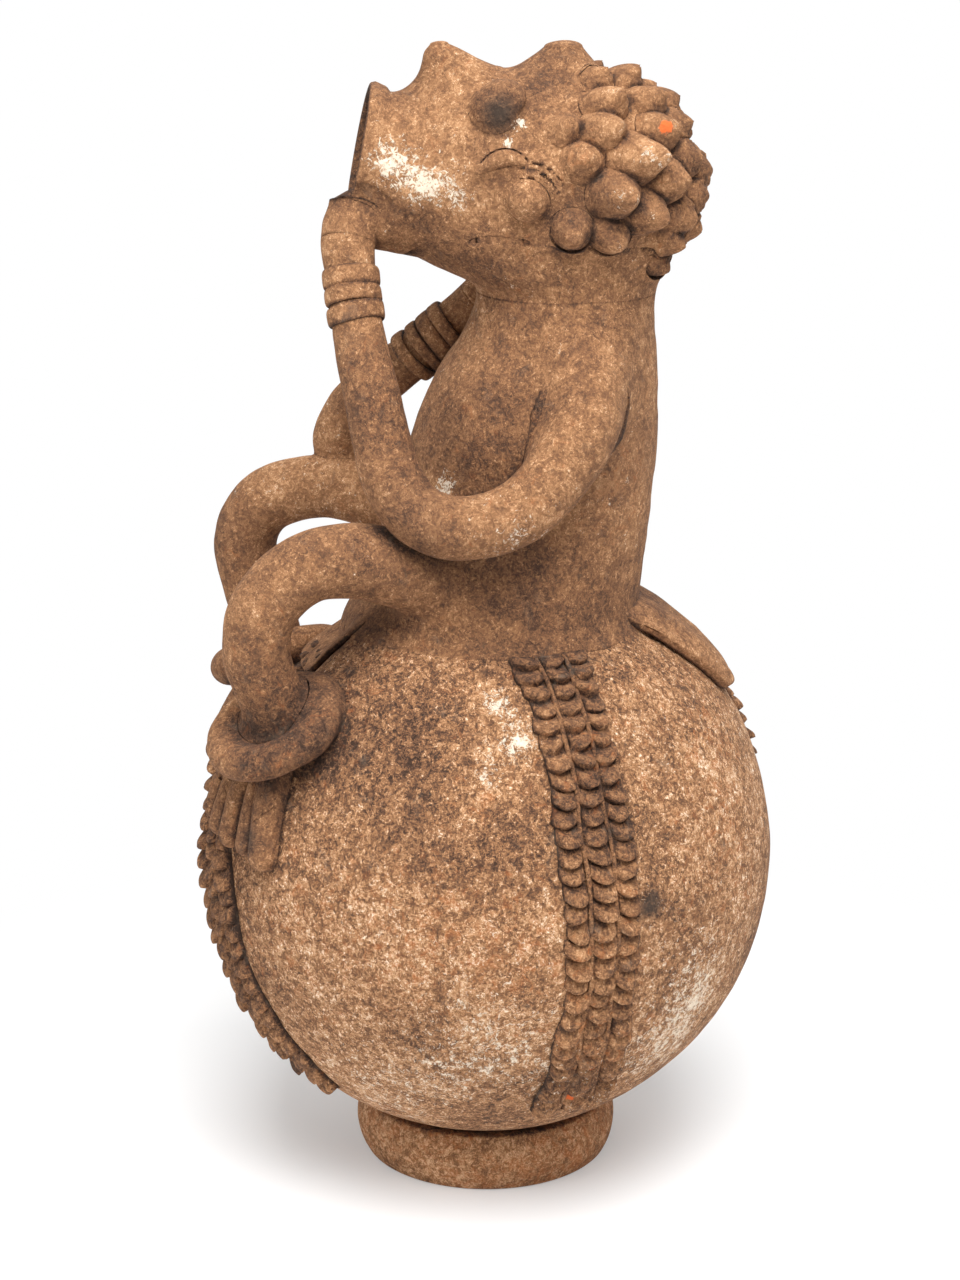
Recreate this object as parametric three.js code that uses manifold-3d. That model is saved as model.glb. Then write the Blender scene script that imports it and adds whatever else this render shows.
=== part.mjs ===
// Figural terracotta vessel: a seated figure with its head thrown back and both hands raised to
// the jaw sits on a hollow globular pot, and the pot's round bottom rests in a separate ring stand.
// Millimetres. The origin is the middle of the stand's foot, +Z is up, the figure faces -Y and its
// left side is on +X.

import * as THREE from "three";
import { mergeVertices } from "three/addons/utils/BufferGeometryUtils.js";
import Module from "manifold-3d";

const wasm = await Module();
wasm.setup();

const TURN = Math.PI / 180;
const X_AXIS = new THREE.Vector3(1, 0, 0);
const Y_AXIS = new THREE.Vector3(0, 1, 0);
const Z_AXIS = new THREE.Vector3(0, 0, 1);

// Joint between neighbouring pieces of clay
const LUTE = 0.3;

// Ring stand: the pot rests in its cradle, and its rim, belly and foot step out from there
const STAND_HEIGHT = 29.5;
const STAND_CRADLE_RADIUS = 57;
const STAND_WALL = 11;
const STAND_RIM = 5.6;
const STAND_BULGE = 2.1;
const STAND_TAPER = 3.2;
const STAND_BELLY_Z = 14;
const STAND_SHOULDER = 3;
const STAND_EDGE = 2;
const CRADLE_STEPS = 3;

// Pot
const POT_RADIUS = 140;
const POT_WALL = 9;
const POT_CENTRE_Z = STAND_HEIGHT + LUTE + ballHeight(POT_RADIUS + LUTE, STAND_CRADLE_RADIUS);

// Seat: the circle where the torso meets the pot. The figure's heights are taken from it
const SEAT_RADIUS = 72;
const SEAT_LEDGE = 5;
const SHELL_WALL = 10;
const SEAT_DROP = Math.asin(SEAT_RADIUS / POT_RADIUS) / TURN;
const SEAT_Z = POT_CENTRE_Z + ballHeight(POT_RADIUS, SEAT_RADIUS);
const POT_HOLE_RADIUS = SEAT_RADIUS - SHELL_WALL - SEAT_LEDGE;

// Torso, up to the neck. The heights of torso and arms are shares of the way from seat to neck
const NECK_HEIGHT = 156;
const NECK_Z = SEAT_Z + NECK_HEIGHT;
const TORSO_STATIONS = upToNeck([
  { z: -0.14, y: 2, across: SEAT_RADIUS, deep: SEAT_RADIUS },
  { z: 0, y: 2, across: SEAT_RADIUS - 2, deep: SEAT_RADIUS - 1 },
  { z: 0.16, y: 12, across: 62, deep: 63 },
  { z: 0.365, y: 18, across: 59, deep: 61 },
  { z: 0.571, y: 23, across: 58, deep: 58 },
  { z: 0.75, y: 28, across: 52, deep: 52 },
  { z: 0.878, y: 34, across: 44, deep: 45 },
  { z: 1, y: 37, across: 40, deep: 41 },
]);

// Head: an ellipsoid skull, and a face that runs forward from it to the lips. The heights of the
// face are taken from the skull's middle
const SKULL_HEIGHT = 51;
const SKULL = { y: 45, z: NECK_Z + SKULL_HEIGHT, across: 48, deep: 51, tall: 46.5 };
const FACE_STATIONS = aboveSkull([
  { z: 1, y: 36, across: 47.5, tall: 46.5 },
  { z: 4, y: 15, across: 45, tall: 46 },
  { z: 5, y: -5, across: 40, tall: 43 },
  { z: 4, y: -25, across: 35, tall: 39.5 },
  { z: 6, y: -42, across: 32, tall: 35 },
  { z: 14, y: -53, across: 30, tall: 30 },
  { z: 20, y: -70, across: 30, tall: 27 },
]);
const LIPS = { y: -58.3, z: SKULL.z + 20, lean: 11.3, wall: 9.5, deep: 40, slope: 0.1 };

// Short neck under the head, flaring into it
const COLLAR_STATIONS = [
  { z: NECK_Z - 2, y: 37, across: 40, deep: 41 },
  { z: NECK_Z + 6, y: 35.5, across: 40, deep: 43 },
  { z: NECK_Z + 13, y: 31.5, across: 39.5, deep: 49 },
  { z: NECK_Z + 27, y: 26, across: 37, deep: 55 },
];

// Trim on the face. Along runs down the face from the skull to the lips, and round is the angle
// from the crown. The nose and the forelock rise from the clay under them
const NOSE_ALONG = 0.39;
const NOSE_STATIONS = [
  { rise: -20, y: 2, across: 18, deep: 26 },
  { rise: -8, y: 0, across: 16, deep: 21 },
  { rise: 3, y: -3, across: 12, deep: 16 },
  { rise: 11.5, y: -7.5, across: 8.5, deep: 10 },
  { rise: 15.8, y: -10, across: 4, deep: 4.5 },
];
const FORELOCK_STATIONS = [
  { rise: -17.5, y: -13, across: 22, deep: 24 },
  { rise: -1.5, y: -12, across: 19, deep: 19.5 },
  { rise: 7.5, y: -11, across: 14, deep: 15 },
  { rise: 14.5, y: -10, across: 8, deep: 9 },
];
const EYE = { along: 0.255, round: 44, sink: 4.2, radius: 11 };
const EAR = { along: 0.135, round: 97, sink: 1.4, radius: 9.5, coilRadius: 13, coilThick: 2.6 };
const EAR_COIL = { first: -35, step: 30, count: 7 };
const EAR_BED = 0.35;
const LOBE = 0.8;

// Hair: pinched knobs in rows round the back of the skull. A row's polar angle is taken from
// the back of the head, and knob angles run round from the crown
const KNOB_HEIGHT = 14;
const KNOB_RADIUS = 8.7;
const KNOB_SWEEP = 0.45;
const KNOB_OUTLINE = [
  { ahead: -0.3, size: 0.95 },
  { ahead: 0.35, size: 1 },
  { ahead: 0.92, size: 0.5 },
];
const HAIR_BED_RADIUS = 5.2;
const HAIR_BED_SINK = 0.6;
const HAIR_ROWS = [
  { name: "hair_fringe_left", polar: 103, first: 44, step: 33, count: 3 },
  { name: "hair_fringe_right", polar: 103, first: -110, step: 33, count: 3 },
  { name: "hair_row_front", polar: 82, first: -119, step: 23.8, count: 11 },
  { name: "hair_row_middle", polar: 61, first: -126, step: 28, count: 10 },
  { name: "hair_nape_left", polar: 61, first: 154, step: 0, count: 1 },
  { name: "hair_nape_right", polar: 61, first: -154, step: 0, count: 1 },
  { name: "hair_row_rear", polar: 40, first: -160, step: 40, count: 9 },
  { name: "hair_row_crown", polar: 18, first: -144, step: 72, count: 5 },
];

// Anklets: rings that lie on the pot round the ankles, leaning outward. Drop is the angle down
// from the pot's top, turn the angle round from +X
const ANKLET = { radius: 26.5, thick: 8.2, lean: 28, drop: 54.9, rise: 1.6 };
const LEFT_ANKLE_TURN = -56.8;
const RIGHT_ANKLE_TURN = -122.7;

// Arms and legs: rolls along a line of points, each with its own radius. Hands are placed from
// the skull's middle, shins from the middle of the anklet
const LEFT_ARM = upToNeck([
  { x: 31, y: 45, z: 0.885, r: 11 },
  { x: 62, y: 40, z: 0.673, r: 16 },
  { x: 72, y: 28, z: 0.551, r: 15.5 },
  { x: 76, y: 12, z: 0.449, r: 15 },
  { x: 77, y: -4, z: 0.404, r: 14.6 },
  { x: 74, y: -22, z: 0.391, r: 14.4 },
  { x: 67, y: -38, z: 0.429, r: 14 },
  { x: 61, y: -47, z: 0.513, r: 14 },
  { x: 54, y: -52, z: 0.628, r: 13.5 },
  { x: 48, y: -55.5, z: 0.737, r: 13.2 },
  { x: 39, y: -60, z: 0.872, r: 12.5 },
  { x: 32, y: -62.5, z: 0.981, r: 11.2 },
  { x: 26, y: -64, z: 1.077, r: 11.3 },
]);
const LEFT_HAND = aboveSkull([
  { x: 19, y: -65, z: -25, r: 12.8 },
  { x: 13, y: -60, z: -15, r: 14 },
  { x: 9, y: -45, z: -17, r: 14 },
]);
const RIGHT_ARM = upToNeck([
  { x: -31, y: 45, z: 0.885, r: 11 },
  { x: -62, y: 40, z: 0.654, r: 16 },
  { x: -72, y: 28, z: 0.513, r: 15.5 },
  { x: -76, y: 10, z: 0.397, r: 14.6 },
  { x: -77, y: -10, z: 0.353, r: 14 },
  { x: -76, y: -32, z: 0.346, r: 13.6 },
  { x: -73, y: -53, z: 0.353, r: 13.6 },
  { x: -70, y: -67, z: 0.423, r: 13.4 },
  { x: -65, y: -63, z: 0.545, r: 13 },
  { x: -59, y: -49, z: 0.641, r: 12.4 },
  { x: -54, y: -31, z: 0.737, r: 11.4 },
  { x: -51, y: -14, z: 0.827, r: 11.4 },
]);
const RIGHT_HAND = aboveSkull([
  { x: -49, y: 0, z: -66, r: 12 },
  { x: -46, y: 11, z: -53, r: 12 },
  { x: -40, y: 15, z: -37, r: 12 },
]);
const LEFT_THIGH = aboveSeat([
  { x: 36, y: -10, z: 18, r: 18.4 },
  { x: 53, y: -43, z: 36, r: 18 },
  { x: 62, y: -68, z: 43, r: 16.8 },
  { x: 67, y: -86.6, z: 41.4, r: 16.2 },
  { x: 69, y: -101.5, z: 30.5, r: 16.2 },
  { x: 69.5, y: -109, z: 17, r: 16.1 },
]);
const LEFT_SHIN = [
  { x: 2, y: -7.4, z: 33.7, r: 15.7 },
  { x: 0, y: -1.9, z: 13.7, r: 15 },
  { x: -4, y: 1.5, z: -6, r: 14.6 },
  { x: -8, y: 5.5, z: -20, r: 14.4 },
];
const RIGHT_THIGH = aboveSeat([
  { x: -36, y: -10, z: 20, r: 17.8 },
  { x: -51, y: -42, z: 40.5, r: 16.6 },
  { x: -61, y: -70, z: 47, r: 15.5 },
  { x: -68, y: -91.5, z: 44.2, r: 15.6 },
  { x: -72.5, y: -107.5, z: 35.2, r: 16 },
  { x: -74.5, y: -116, z: 18, r: 15.8 },
]);
const RIGHT_SHIN = [
  { x: -8.9, y: -11.6, z: 30.7, r: 15.6 },
  { x: -6.5, y: -5.5, z: 12, r: 15.2 },
  { x: 0, y: -1, z: -6, r: 14.6 },
  { x: 6, y: 5, z: -20, r: 14.4 },
];

// Bracelets: how far along the arm the first one sits, the step to the next, and their width
const LEFT_BRACELETS = { first: 0.838, step: 0.0395, count: 3, width: 8.4 };
const RIGHT_BRACELETS = { first: 0.83, step: 0.0285, count: 4, width: 7.4 };
const BRACELET_PROUD = 1.4;
const BRACELET_EASE = 0.3;
const BRACELET_FLAT = 0.6;

// Feet, laid on the pot below the anklets. Angles down the pot are taken from the anklet's
const FOOT = { above: 5.1, below: 21.1, halfTop: 17, halfBottom: 24, thick: 7.5, ridge: 0 };
const TOE = { count: 5, spread: 5.2, above: 9.1, below: 25.1, radius: 5.2, lift: 5.6, narrow: 0.2 };
const TOE_IN = 2;

// Flaps on the pot at the front and the back of the seat. Angles down the pot are taken from
// the seat's
const FRONT_FLAP = {
  turn: -90, above: -4, below: 12, halfTop: 36, halfBottom: 33, thick: 5.6, ridge: 0.8,
};
const BACK_FLAP = {
  turn: 90, above: -4, below: 24, halfTop: 38, halfBottom: 19, thick: 9.5, ridge: 1.4,
};
const PAD_EDGE = 0.55;
const PAD_END = 0.8;

// Four bands of pellets down the pot, each of three rows with a thin cord in each space between.
// A band starts below the seat at one turn round from +X and ends at another
const BANDS = [
  { name: "left", start: 18, end: 18, below: 1.6 },
  { name: "back", start: 104, end: 112, below: 3 },
  { name: "right", start: 198, end: 198, below: 1.6 },
  { name: "front", start: -84, end: -59, below: 5 },
];
const BAND_BOTTOM = 134;
const ROW_SPACING = 12.6;
const PELLET_PITCH = 8.6;
const PELLET_WIDTH = 9.4;
const PELLET_HEIGHT = 3.6;
const PELLET_EDGE = 1.6;
const GROOVE_HEIGHT = 1.4;
const CORD_WIDTH = 2.2;
const CORD_HEIGHT = 2;

// Facets
const POT_SEGMENTS = 40;
const BORE_SEGMENTS = 20;
const STAND_SEGMENTS = 32;
const SHELL_SIDES = 22;
const BORE_SIDES = 14;
const TRIM_SIDES = 14;
const BALL_SIDES = 10;
const LIMB_SIDES = 10;
const LIMB_STEPS = 16;
const SMALL_SIDES = 6;
const BRACELET_SIDES = 16;
const CORD_STEPS = 14;
const ROOM_STEPS = 20;
const PAD_COLUMNS = 8;
const PAD_STEP = 6;

// Finishes of the clay
const FIGURE_CLAY = { color: new THREE.Color("#8f6a48"), roughness: 0.92 };
const POT_CLAY = { color: new THREE.Color("#9a7550"), roughness: 0.92 };
const STAND_CLAY = { color: new THREE.Color("#7d5133"), roughness: 0.95 };
const TRIM_CLAY = { color: new THREE.Color("#7c5d43"), roughness: 0.95 };
const RUBBED_CLAY = { color: new THREE.Color("#8f6a48"), roughness: 0.85 };

// Points whose heights are given as shares of the way from the seat to the neck.
function upToNeck(points) {
  return points.map((p) => ({ ...p, z: SEAT_Z + p.z * NECK_HEIGHT }));
}

// Points whose heights are given above the seat.
function aboveSeat(points) {
  return points.map((p) => ({ ...p, z: SEAT_Z + p.z }));
}

// Points whose heights are given from the skull's middle.
function aboveSkull(points) {
  return points.map((p) => ({ ...p, z: SKULL.z + p.z }));
}

// A three.js geometry as a solid, its faces turned to point outward.
function solid(geometry) {
  geometry.deleteAttribute("normal");
  geometry.deleteAttribute("uv");
  const merged = mergeVertices(geometry, 1e-4);
  const position = merged.attributes.position;
  const index = Uint32Array.from(merged.index.array);
  const a = new THREE.Vector3();
  const b = new THREE.Vector3();
  const c = new THREE.Vector3();
  let volume = 0;
  for (let i = 0; i < index.length; i += 3) {
    a.fromBufferAttribute(position, index[i]);
    b.fromBufferAttribute(position, index[i + 1]);
    c.fromBufferAttribute(position, index[i + 2]);
    volume += a.dot(b.cross(c));
  }
  if (volume < 0) index.reverse();
  return new wasm.Manifold(
    new wasm.Mesh({ numProp: 3, vertProperties: position.array, triVerts: index }),
  );
}

// A closed skin through rings of points, each ring with the same count, capped at both ends.
function skin(rings) {
  const sides = rings[0].length;
  const points = rings.flat();
  const index = [];
  for (let i = 0; i + 1 < rings.length; i++) {
    for (let j = 0; j < sides; j++) {
      const next = (j + 1) % sides;
      const a = i * sides + j;
      const b = i * sides + next;
      index.push(a, b, b + sides, a, b + sides, a + sides);
    }
  }
  const middles = [rings[0], rings[rings.length - 1]].map((ring) =>
    ring.reduce((sum, p) => sum.add(p), new THREE.Vector3()).divideScalar(sides),
  );
  const last = (rings.length - 1) * sides;
  for (let j = 0; j < sides; j++) {
    const next = (j + 1) % sides;
    index.push(points.length, next, j);
    index.push(points.length + 1, last + j, last + next);
  }
  return solid(new THREE.BufferGeometry().setFromPoints([...points, ...middles]).setIndex(index));
}

// Points round an ellipse of the given half sizes along two directions.
function ellipse(centre, u, v, halfU, halfV, sides) {
  return Array.from({ length: sides }, (_, i) => {
    const angle = (2 * Math.PI * i) / sides;
    return centre
      .clone()
      .addScaledVector(u, halfU * Math.cos(angle))
      .addScaledVector(v, halfV * Math.sin(angle));
  });
}

// A smooth line through one named size of the stations.
function stationLine(stations, key) {
  const points = stations.map((s, i) => new THREE.Vector3(i, s[key], 0));
  return new THREE.CatmullRomCurve3(points, false, "catmullrom", 0.5);
}

// Stations joined by a smooth line: each named size is read off at evenly spaced steps.
function smoothStations(stations, keys, steps) {
  const curves = keys.map((key) => stationLine(stations, key));
  return Array.from({ length: steps + 1 }, (_, i) =>
    Object.fromEntries(keys.map((key, k) => [key, curves[k].getPoint(i / steps).y])),
  );
}

// A solid of revolution about the upright axis.
function turned(profile, segments) {
  const points = profile.map(([r, z]) => new THREE.Vector2(r, z));
  return solid(new THREE.LatheGeometry(points, segments).rotateX(Math.PI / 2));
}

// Height of the ball of the given radius at a distance from its axis.
function ballHeight(radius, r) {
  return Math.sqrt(radius * radius - r * r);
}

// Points on a circle about the pot's middle, between two drops from its top.
function arc(radius, from, to, steps) {
  return Array.from({ length: steps + 1 }, (_, i) => {
    const drop = (from + ((to - from) * i) / steps) * TURN;
    return [radius * Math.sin(drop), POT_CENTRE_Z + radius * Math.cos(drop)];
  });
}

// The pot's outer ball, grown by the joint where something rests on it.
function potBall(grow) {
  const profile = arc(POT_RADIUS + grow, 180, 0, POT_SEGMENTS / 2);
  profile[0][0] = 0;
  profile[profile.length - 1][0] = 0;
  return turned(profile, POT_SEGMENTS);
}

function potBody() {
  const profile = arc(POT_RADIUS - POT_WALL, 180, 0, BORE_SEGMENTS / 2);
  profile[0][0] = 0;
  profile[profile.length - 1][0] = 0;
  const hole = [
    [0, POT_CENTRE_Z],
    [POT_HOLE_RADIUS, POT_CENTRE_Z],
    [POT_HOLE_RADIUS, POT_CENTRE_Z + 2 * POT_RADIUS],
    [0, POT_CENTRE_Z + 2 * POT_RADIUS],
  ];
  return potBall(0)
    .subtract(turned(profile, BORE_SEGMENTS))
    .subtract(turned(hole, BORE_SEGMENTS));
}

function ringStand() {
  const bore = STAND_CRADLE_RADIUS - STAND_WALL;
  const rim = STAND_CRADLE_RADIUS + STAND_RIM;
  const belly = rim + STAND_BULGE;
  const base = belly - STAND_TAPER;
  const cradle = Array.from({ length: CRADLE_STEPS + 1 }, (_, i) => {
    const r = STAND_CRADLE_RADIUS - (STAND_WALL * i) / CRADLE_STEPS;
    return [r, POT_CENTRE_Z - ballHeight(POT_RADIUS + LUTE, r) - LUTE];
  });
  return turned(
    [
      [bore, 0],
      [base - STAND_EDGE, 0],
      [base, STAND_EDGE],
      [belly, STAND_BELLY_Z],
      [rim, STAND_HEIGHT - STAND_SHOULDER],
      [rim - STAND_RIM / 2, STAND_HEIGHT],
      ...cradle,
      [bore, 0],
    ],
    STAND_SEGMENTS,
  );
}

// A skin through upright stations: each is a level ellipse.
function stack(stations, grow, steps, sides) {
  return skin(
    smoothStations(stations, ["z", "y", "across", "deep"], steps).map((s) =>
      ellipse(
        new THREE.Vector3(0, s.y, s.z),
        X_AXIS,
        new THREE.Vector3(0, 1, 0),
        s.across + grow,
        s.deep + grow,
        sides,
      ),
    ),
  );
}

// Everything between two levels.
function slab(bottom, top) {
  const wide = 4 * POT_RADIUS;
  return solid(new THREE.BoxGeometry(wide, wide, top - bottom).translate(0, 0, (top + bottom) / 2));
}

function torsoOuter(grow) {
  return stack(TORSO_STATIONS, grow, 9, SHELL_SIDES).subtract(slab(NECK_Z, NECK_Z + POT_RADIUS));
}

function torsoShell() {
  const neck = TORSO_STATIONS[TORSO_STATIONS.length - 1];
  const above = { ...neck, z: neck.z + SHELL_WALL };
  const bore = stack([...TORSO_STATIONS, above], -SHELL_WALL, 7, BORE_SIDES);
  return torsoOuter(0).subtract(bore).subtract(potBall(LUTE));
}

// An upright ring of the head, square to the face's length.
function headRing({ y, z, across, tall }, sides) {
  return ellipse(new THREE.Vector3(0, y, z), X_AXIS, Z_AXIS, across, tall, sides);
}

// Rings of the skull's ellipsoid, by polar angle from the back of the head.
function skullRings(polars, grow) {
  return polars.map((polar) => ({
    y: SKULL.y + (SKULL.deep + grow) * Math.cos(polar * TURN),
    z: SKULL.z,
    across: (SKULL.across + grow) * Math.sin(polar * TURN),
    tall: (SKULL.tall + grow) * Math.sin(polar * TURN),
  }));
}

function faceRings(stations, grow, steps) {
  return smoothStations(stations, ["y", "z", "across", "tall"], steps).map((s) => ({
    ...s,
    across: s.across + grow,
    tall: s.tall + grow,
  }));
}

// The head's skin: the skull from its back, then the face down to the lips.
function headOuter(grow) {
  const rings = [...skullRings([10, 30, 52, 74], grow), ...faceRings(FACE_STATIONS, grow, 8)];
  return skin(rings.map((ring) => headRing(ring, SHELL_SIDES)));
}

// A point of the face, sunk under its skin.
function onFace({ along, round, sink }) {
  const curves = ["y", "z", "across", "tall"].map((key) => stationLine(FACE_STATIONS, key));
  const [y, z, across, tall] = curves.map((curve) => curve.getPoint(along).y);
  const angle = round * TURN;
  const x = (across - sink) * Math.sin(angle);
  return new THREE.Vector3(x, y, z + (tall - sink) * Math.cos(angle));
}

// Everything in front of the plane of the lips, or of a plane ahead of it.
function beforeLips(ahead) {
  const deep = POT_RADIUS;
  const block = new THREE.BoxGeometry(2 * deep, deep, 2 * deep)
    .translate(0, -deep / 2 - ahead, 0)
    .rotateX(-LIPS.lean * TURN)
    .translate(0, LIPS.y, LIPS.z);
  return solid(block);
}

// The short neck under the skull, flaring into it.
function neckCollar(grow) {
  return stack(COLLAR_STATIONS, grow, 3, SHELL_SIDES);
}

function headSolid(grow) {
  return headOuter(grow)
    .add(neckCollar(grow))
    .subtract(slab(NECK_Z - POT_RADIUS, NECK_Z + LUTE - grow))
    .subtract(beforeLips(grow));
}

// The open mouth: a straight passage behind the lips, a little lower at its inner end.
function gape() {
  const mouth = FACE_STATIONS[FACE_STATIONS.length - 1];
  const ends = [0, LIPS.deep].map((behind) => ({
    y: LIPS.y - SHELL_WALL + behind,
    z: LIPS.z - LIPS.slope * behind,
    across: mouth.across - LIPS.wall,
    tall: mouth.tall - LIPS.wall,
  }));
  return skin(ends.map((ring) => headRing(ring, BORE_SIDES)));
}

function headShell() {
  const back = skullRings([28, 60, 90], -SHELL_WALL);
  const front = faceRings(FACE_STATIONS.slice(0, -2), -SHELL_WALL, 4);
  front[0].y = SKULL.y + 1;
  const hollows = [back, front].map((rings) => skin(rings.map((ring) => headRing(ring, BORE_SIDES))));
  return headSolid(0)
    .subtract(hollows[0])
    .subtract(hollows[1])
    .subtract(gape())
    .subtract(neckCollar(-SHELL_WALL));
}

// The line and the radius along a roll's points.
function rollLine(points) {
  const line = points.map((p) => new THREE.Vector3(p.x, p.y, p.z));
  const radii = points.map((p, i) => new THREE.Vector3(i, p.r, 0));
  return [line, radii].map((list) => new THREE.CatmullRomCurve3(list, false, "centripetal"));
}

// A roll of clay along a smooth line through its points, with round or flat ends. The part of
// the line that is used runs between two fractions of its length.
function roll(points, { grow = 0, from = 0, to = 1, steps = LIMB_STEPS, sides = LIMB_SIDES, round }) {
  const [line, radii] = rollLine(points);
  const rings = [];
  let across = null;
  for (let i = 0; i <= steps; i++) {
    const t = from + ((to - from) * i) / steps;
    const along = line.getTangent(t);
    const start = across ?? (Math.abs(along.z) > 0.9 ? X_AXIS : Z_AXIS).clone();
    across = start.clone().addScaledVector(along, -start.dot(along)).normalize();
    const up = along.clone().cross(across);
    const r = radii.getPoint(t).y + grow;
    rings.push(ellipse(line.getPoint(t), across, up, r, r, sides));
    if (i < steps || !round) continue;
    for (const tilt of [30, 60]) {
      const tip = line.getPoint(t).addScaledVector(along, r * Math.sin(tilt * TURN));
      const size = r * Math.cos(tilt * TURN);
      rings.push(ellipse(tip, across, up, size, size, sides));
    }
  }
  return skin(rings);
}

// The wrist, as a fraction of the line through arm and hand.
function wristAt(arm, hand) {
  return arm.length / (arm.length + hand.length - 1);
}

// A hand carries on its arm's line and ends round against the jaw.
function handRoll(arm, hand, grow) {
  return roll([...arm, ...hand], { grow, from: wristAt(arm, hand), steps: 5, round: true });
}

function armRoll(arm, hand, grow) {
  const first = new THREE.Vector3(hand[0].x, hand[0].y, hand[0].z);
  const last = arm[arm.length - 1];
  const stretch = first.distanceTo(new THREE.Vector3(last.x, last.y, last.z));
  const joint = (2 * LUTE) / stretch / (arm.length + hand.length - 1);
  return roll([...arm, ...hand], { grow, to: wristAt(arm, hand) - joint, steps: LIMB_STEPS + 1 });
}

// One bracelet: a band with a flat outside, closed round the arm with a joint inside it.
function bracelet(arm, hand, set, number) {
  const [line, radii] = rollLine([...arm, ...hand]);
  const t = (set.first + set.step * number) * wristAt(arm, hand);
  const inner = (radii.getPoint(t).y + LUTE) / Math.cos(Math.PI / BRACELET_SIDES) + BRACELET_EASE;
  const half = set.width / 2 - LUTE;
  const profile = [
    [inner, -half],
    [inner + BRACELET_PROUD, -half * BRACELET_FLAT],
    [inner + BRACELET_PROUD, half * BRACELET_FLAT],
    [inner, half],
    [inner, -half],
  ];
  const points = profile.map(([r, z]) => new THREE.Vector2(r, z));
  const turn = new THREE.Quaternion().setFromUnitVectors(Y_AXIS, line.getTangent(t));
  const middle = line.getPoint(t);
  const ring = new THREE.LatheGeometry(points, BRACELET_SIDES)
    .applyQuaternion(turn)
    .translate(middle.x, middle.y, middle.z);
  return solid(ring);
}

// Where the middle of an anklet lies above the pot.
function ankle(turn) {
  return onPot(ANKLET.drop, turn, ANKLET.thick + ANKLET.rise);
}

function anklet(turn, grow) {
  const middle = ankle(turn);
  const thick = ANKLET.thick + grow;
  const ring = new THREE.TorusGeometry(ANKLET.radius, thick, SMALL_SIDES + 1, 2 * LIMB_SIDES)
    .rotateY(ANKLET.lean * TURN)
    .rotateZ(turn * TURN)
    .translate(middle.x, middle.y, middle.z);
  return solid(ring);
}

// A leg runs over the knee and down through its anklet to the pot.
function leg(thigh, shin, turn, grow) {
  const middle = ankle(turn);
  const lower = shin.map((p) => ({
    x: middle.x + p.x,
    y: middle.y + p.y,
    z: middle.z + p.z,
    r: p.r,
  }));
  return roll([...thigh, ...lower], { grow });
}

// A point above the pot, by its drop from the top, its turn from +X and its height off the clay.
function onPot(drop, turn, height) {
  const r = POT_RADIUS + height;
  return new THREE.Vector3(
    r * Math.sin(drop * TURN) * Math.cos(turn * TURN),
    r * Math.sin(drop * TURN) * Math.sin(turn * TURN),
    POT_CENTRE_Z + r * Math.cos(drop * TURN),
  );
}

function bandTop(band) {
  return SEAT_DROP + band.below;
}

// A strip down the pot, beside a band's middle line. Each ring is a flat-topped hump.
function strip(band, aside, width, edge, rings, base = LUTE) {
  return skin(
    rings.map(({ drop, height }) => {
      const down = (drop - bandTop(band)) / (BAND_BOTTOM - bandTop(band));
      const turn = band.start + (band.end - band.start) * down;
      const angle = (mm) => turn + mm / (POT_RADIUS * Math.sin(drop * TURN)) / TURN;
      return [
        onPot(drop, angle(aside - width / 2), base),
        onPot(drop, angle(aside + width / 2), base),
        onPot(drop, angle(aside + width / 2 - edge), height),
        onPot(drop, angle(aside - width / 2 + edge), height),
      ];
    }),
  );
}

function pelletRow(band, aside) {
  const length = BAND_BOTTOM - bandTop(band);
  const count = Math.round((length * TURN * POT_RADIUS) / PELLET_PITCH);
  const pitch = length / count;
  const rings = [];
  for (let i = 0; i < count; i++) {
    rings.push({ drop: bandTop(band) + pitch * i, height: GROOVE_HEIGHT });
    rings.push({ drop: bandTop(band) + pitch * (i + 0.5), height: PELLET_HEIGHT });
  }
  rings.push({ drop: BAND_BOTTOM, height: GROOVE_HEIGHT });
  return strip(band, aside, PELLET_WIDTH, PELLET_EDGE, rings);
}

// Rings of even height down a band, reaching the given angle past both its ends.
function evenRings(band, height, steps, past) {
  const from = bandTop(band) - past;
  return Array.from({ length: steps + 1 }, (_, i) => ({
    drop: from + ((BAND_BOTTOM + past - from) * i) / steps,
    height,
  }));
}

function cord(band, aside) {
  const rings = evenRings(band, CORD_HEIGHT, CORD_STEPS, 0);
  return strip(band, aside, CORD_WIDTH, CORD_WIDTH / 3, rings, 2 * LUTE);
}

// The room that one whole band takes, with a joint round it.
function bandRoom(band) {
  const rings = evenRings(band, PELLET_HEIGHT + 3 * LUTE, ROOM_STEPS, 1);
  const width = ROW_SPACING + 2 * LUTE;
  return [-1, 0, 1]
    .map((row) => strip(band, row * ROW_SPACING, width, 0, rings, -POT_WALL / 2))
    .reduce((sum, room) => sum.add(room));
}

// A slab that follows the pot between two drops, with two soft ridges along it.
function pad({ turn, top, bottom, halfTop, halfBottom, thick, ridge }) {
  const steps = Math.ceil((bottom - top) / PAD_STEP);
  const rings = Array.from({ length: steps + 1 }, (_, i) => {
    const f = i / steps;
    const drop = top + (bottom - top) * f;
    const half = halfTop + (halfBottom - halfTop) * f;
    const over = [];
    const under = [];
    for (let j = 0; j <= PAD_COLUMNS; j++) {
      const side = (2 * j) / PAD_COLUMNS - 1;
      const angle = turn + (side * half) / (POT_RADIUS * Math.sin(drop * TURN)) / TURN;
      const edge = j === 0 || j === PAD_COLUMNS ? PAD_EDGE : 1;
      const end = i === steps ? PAD_END : 1;
      const height = thick - ridge - ridge * Math.cos(2 * Math.PI * side);
      over.push(onPot(drop, angle, height * edge * end));
      under.unshift(onPot(drop, angle, LUTE));
    }
    return [...over, ...under];
  });
  return skin(rings);
}

function flap(size) {
  return pad({ ...size, top: SEAT_DROP + size.above, bottom: SEAT_DROP + size.below });
}

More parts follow.
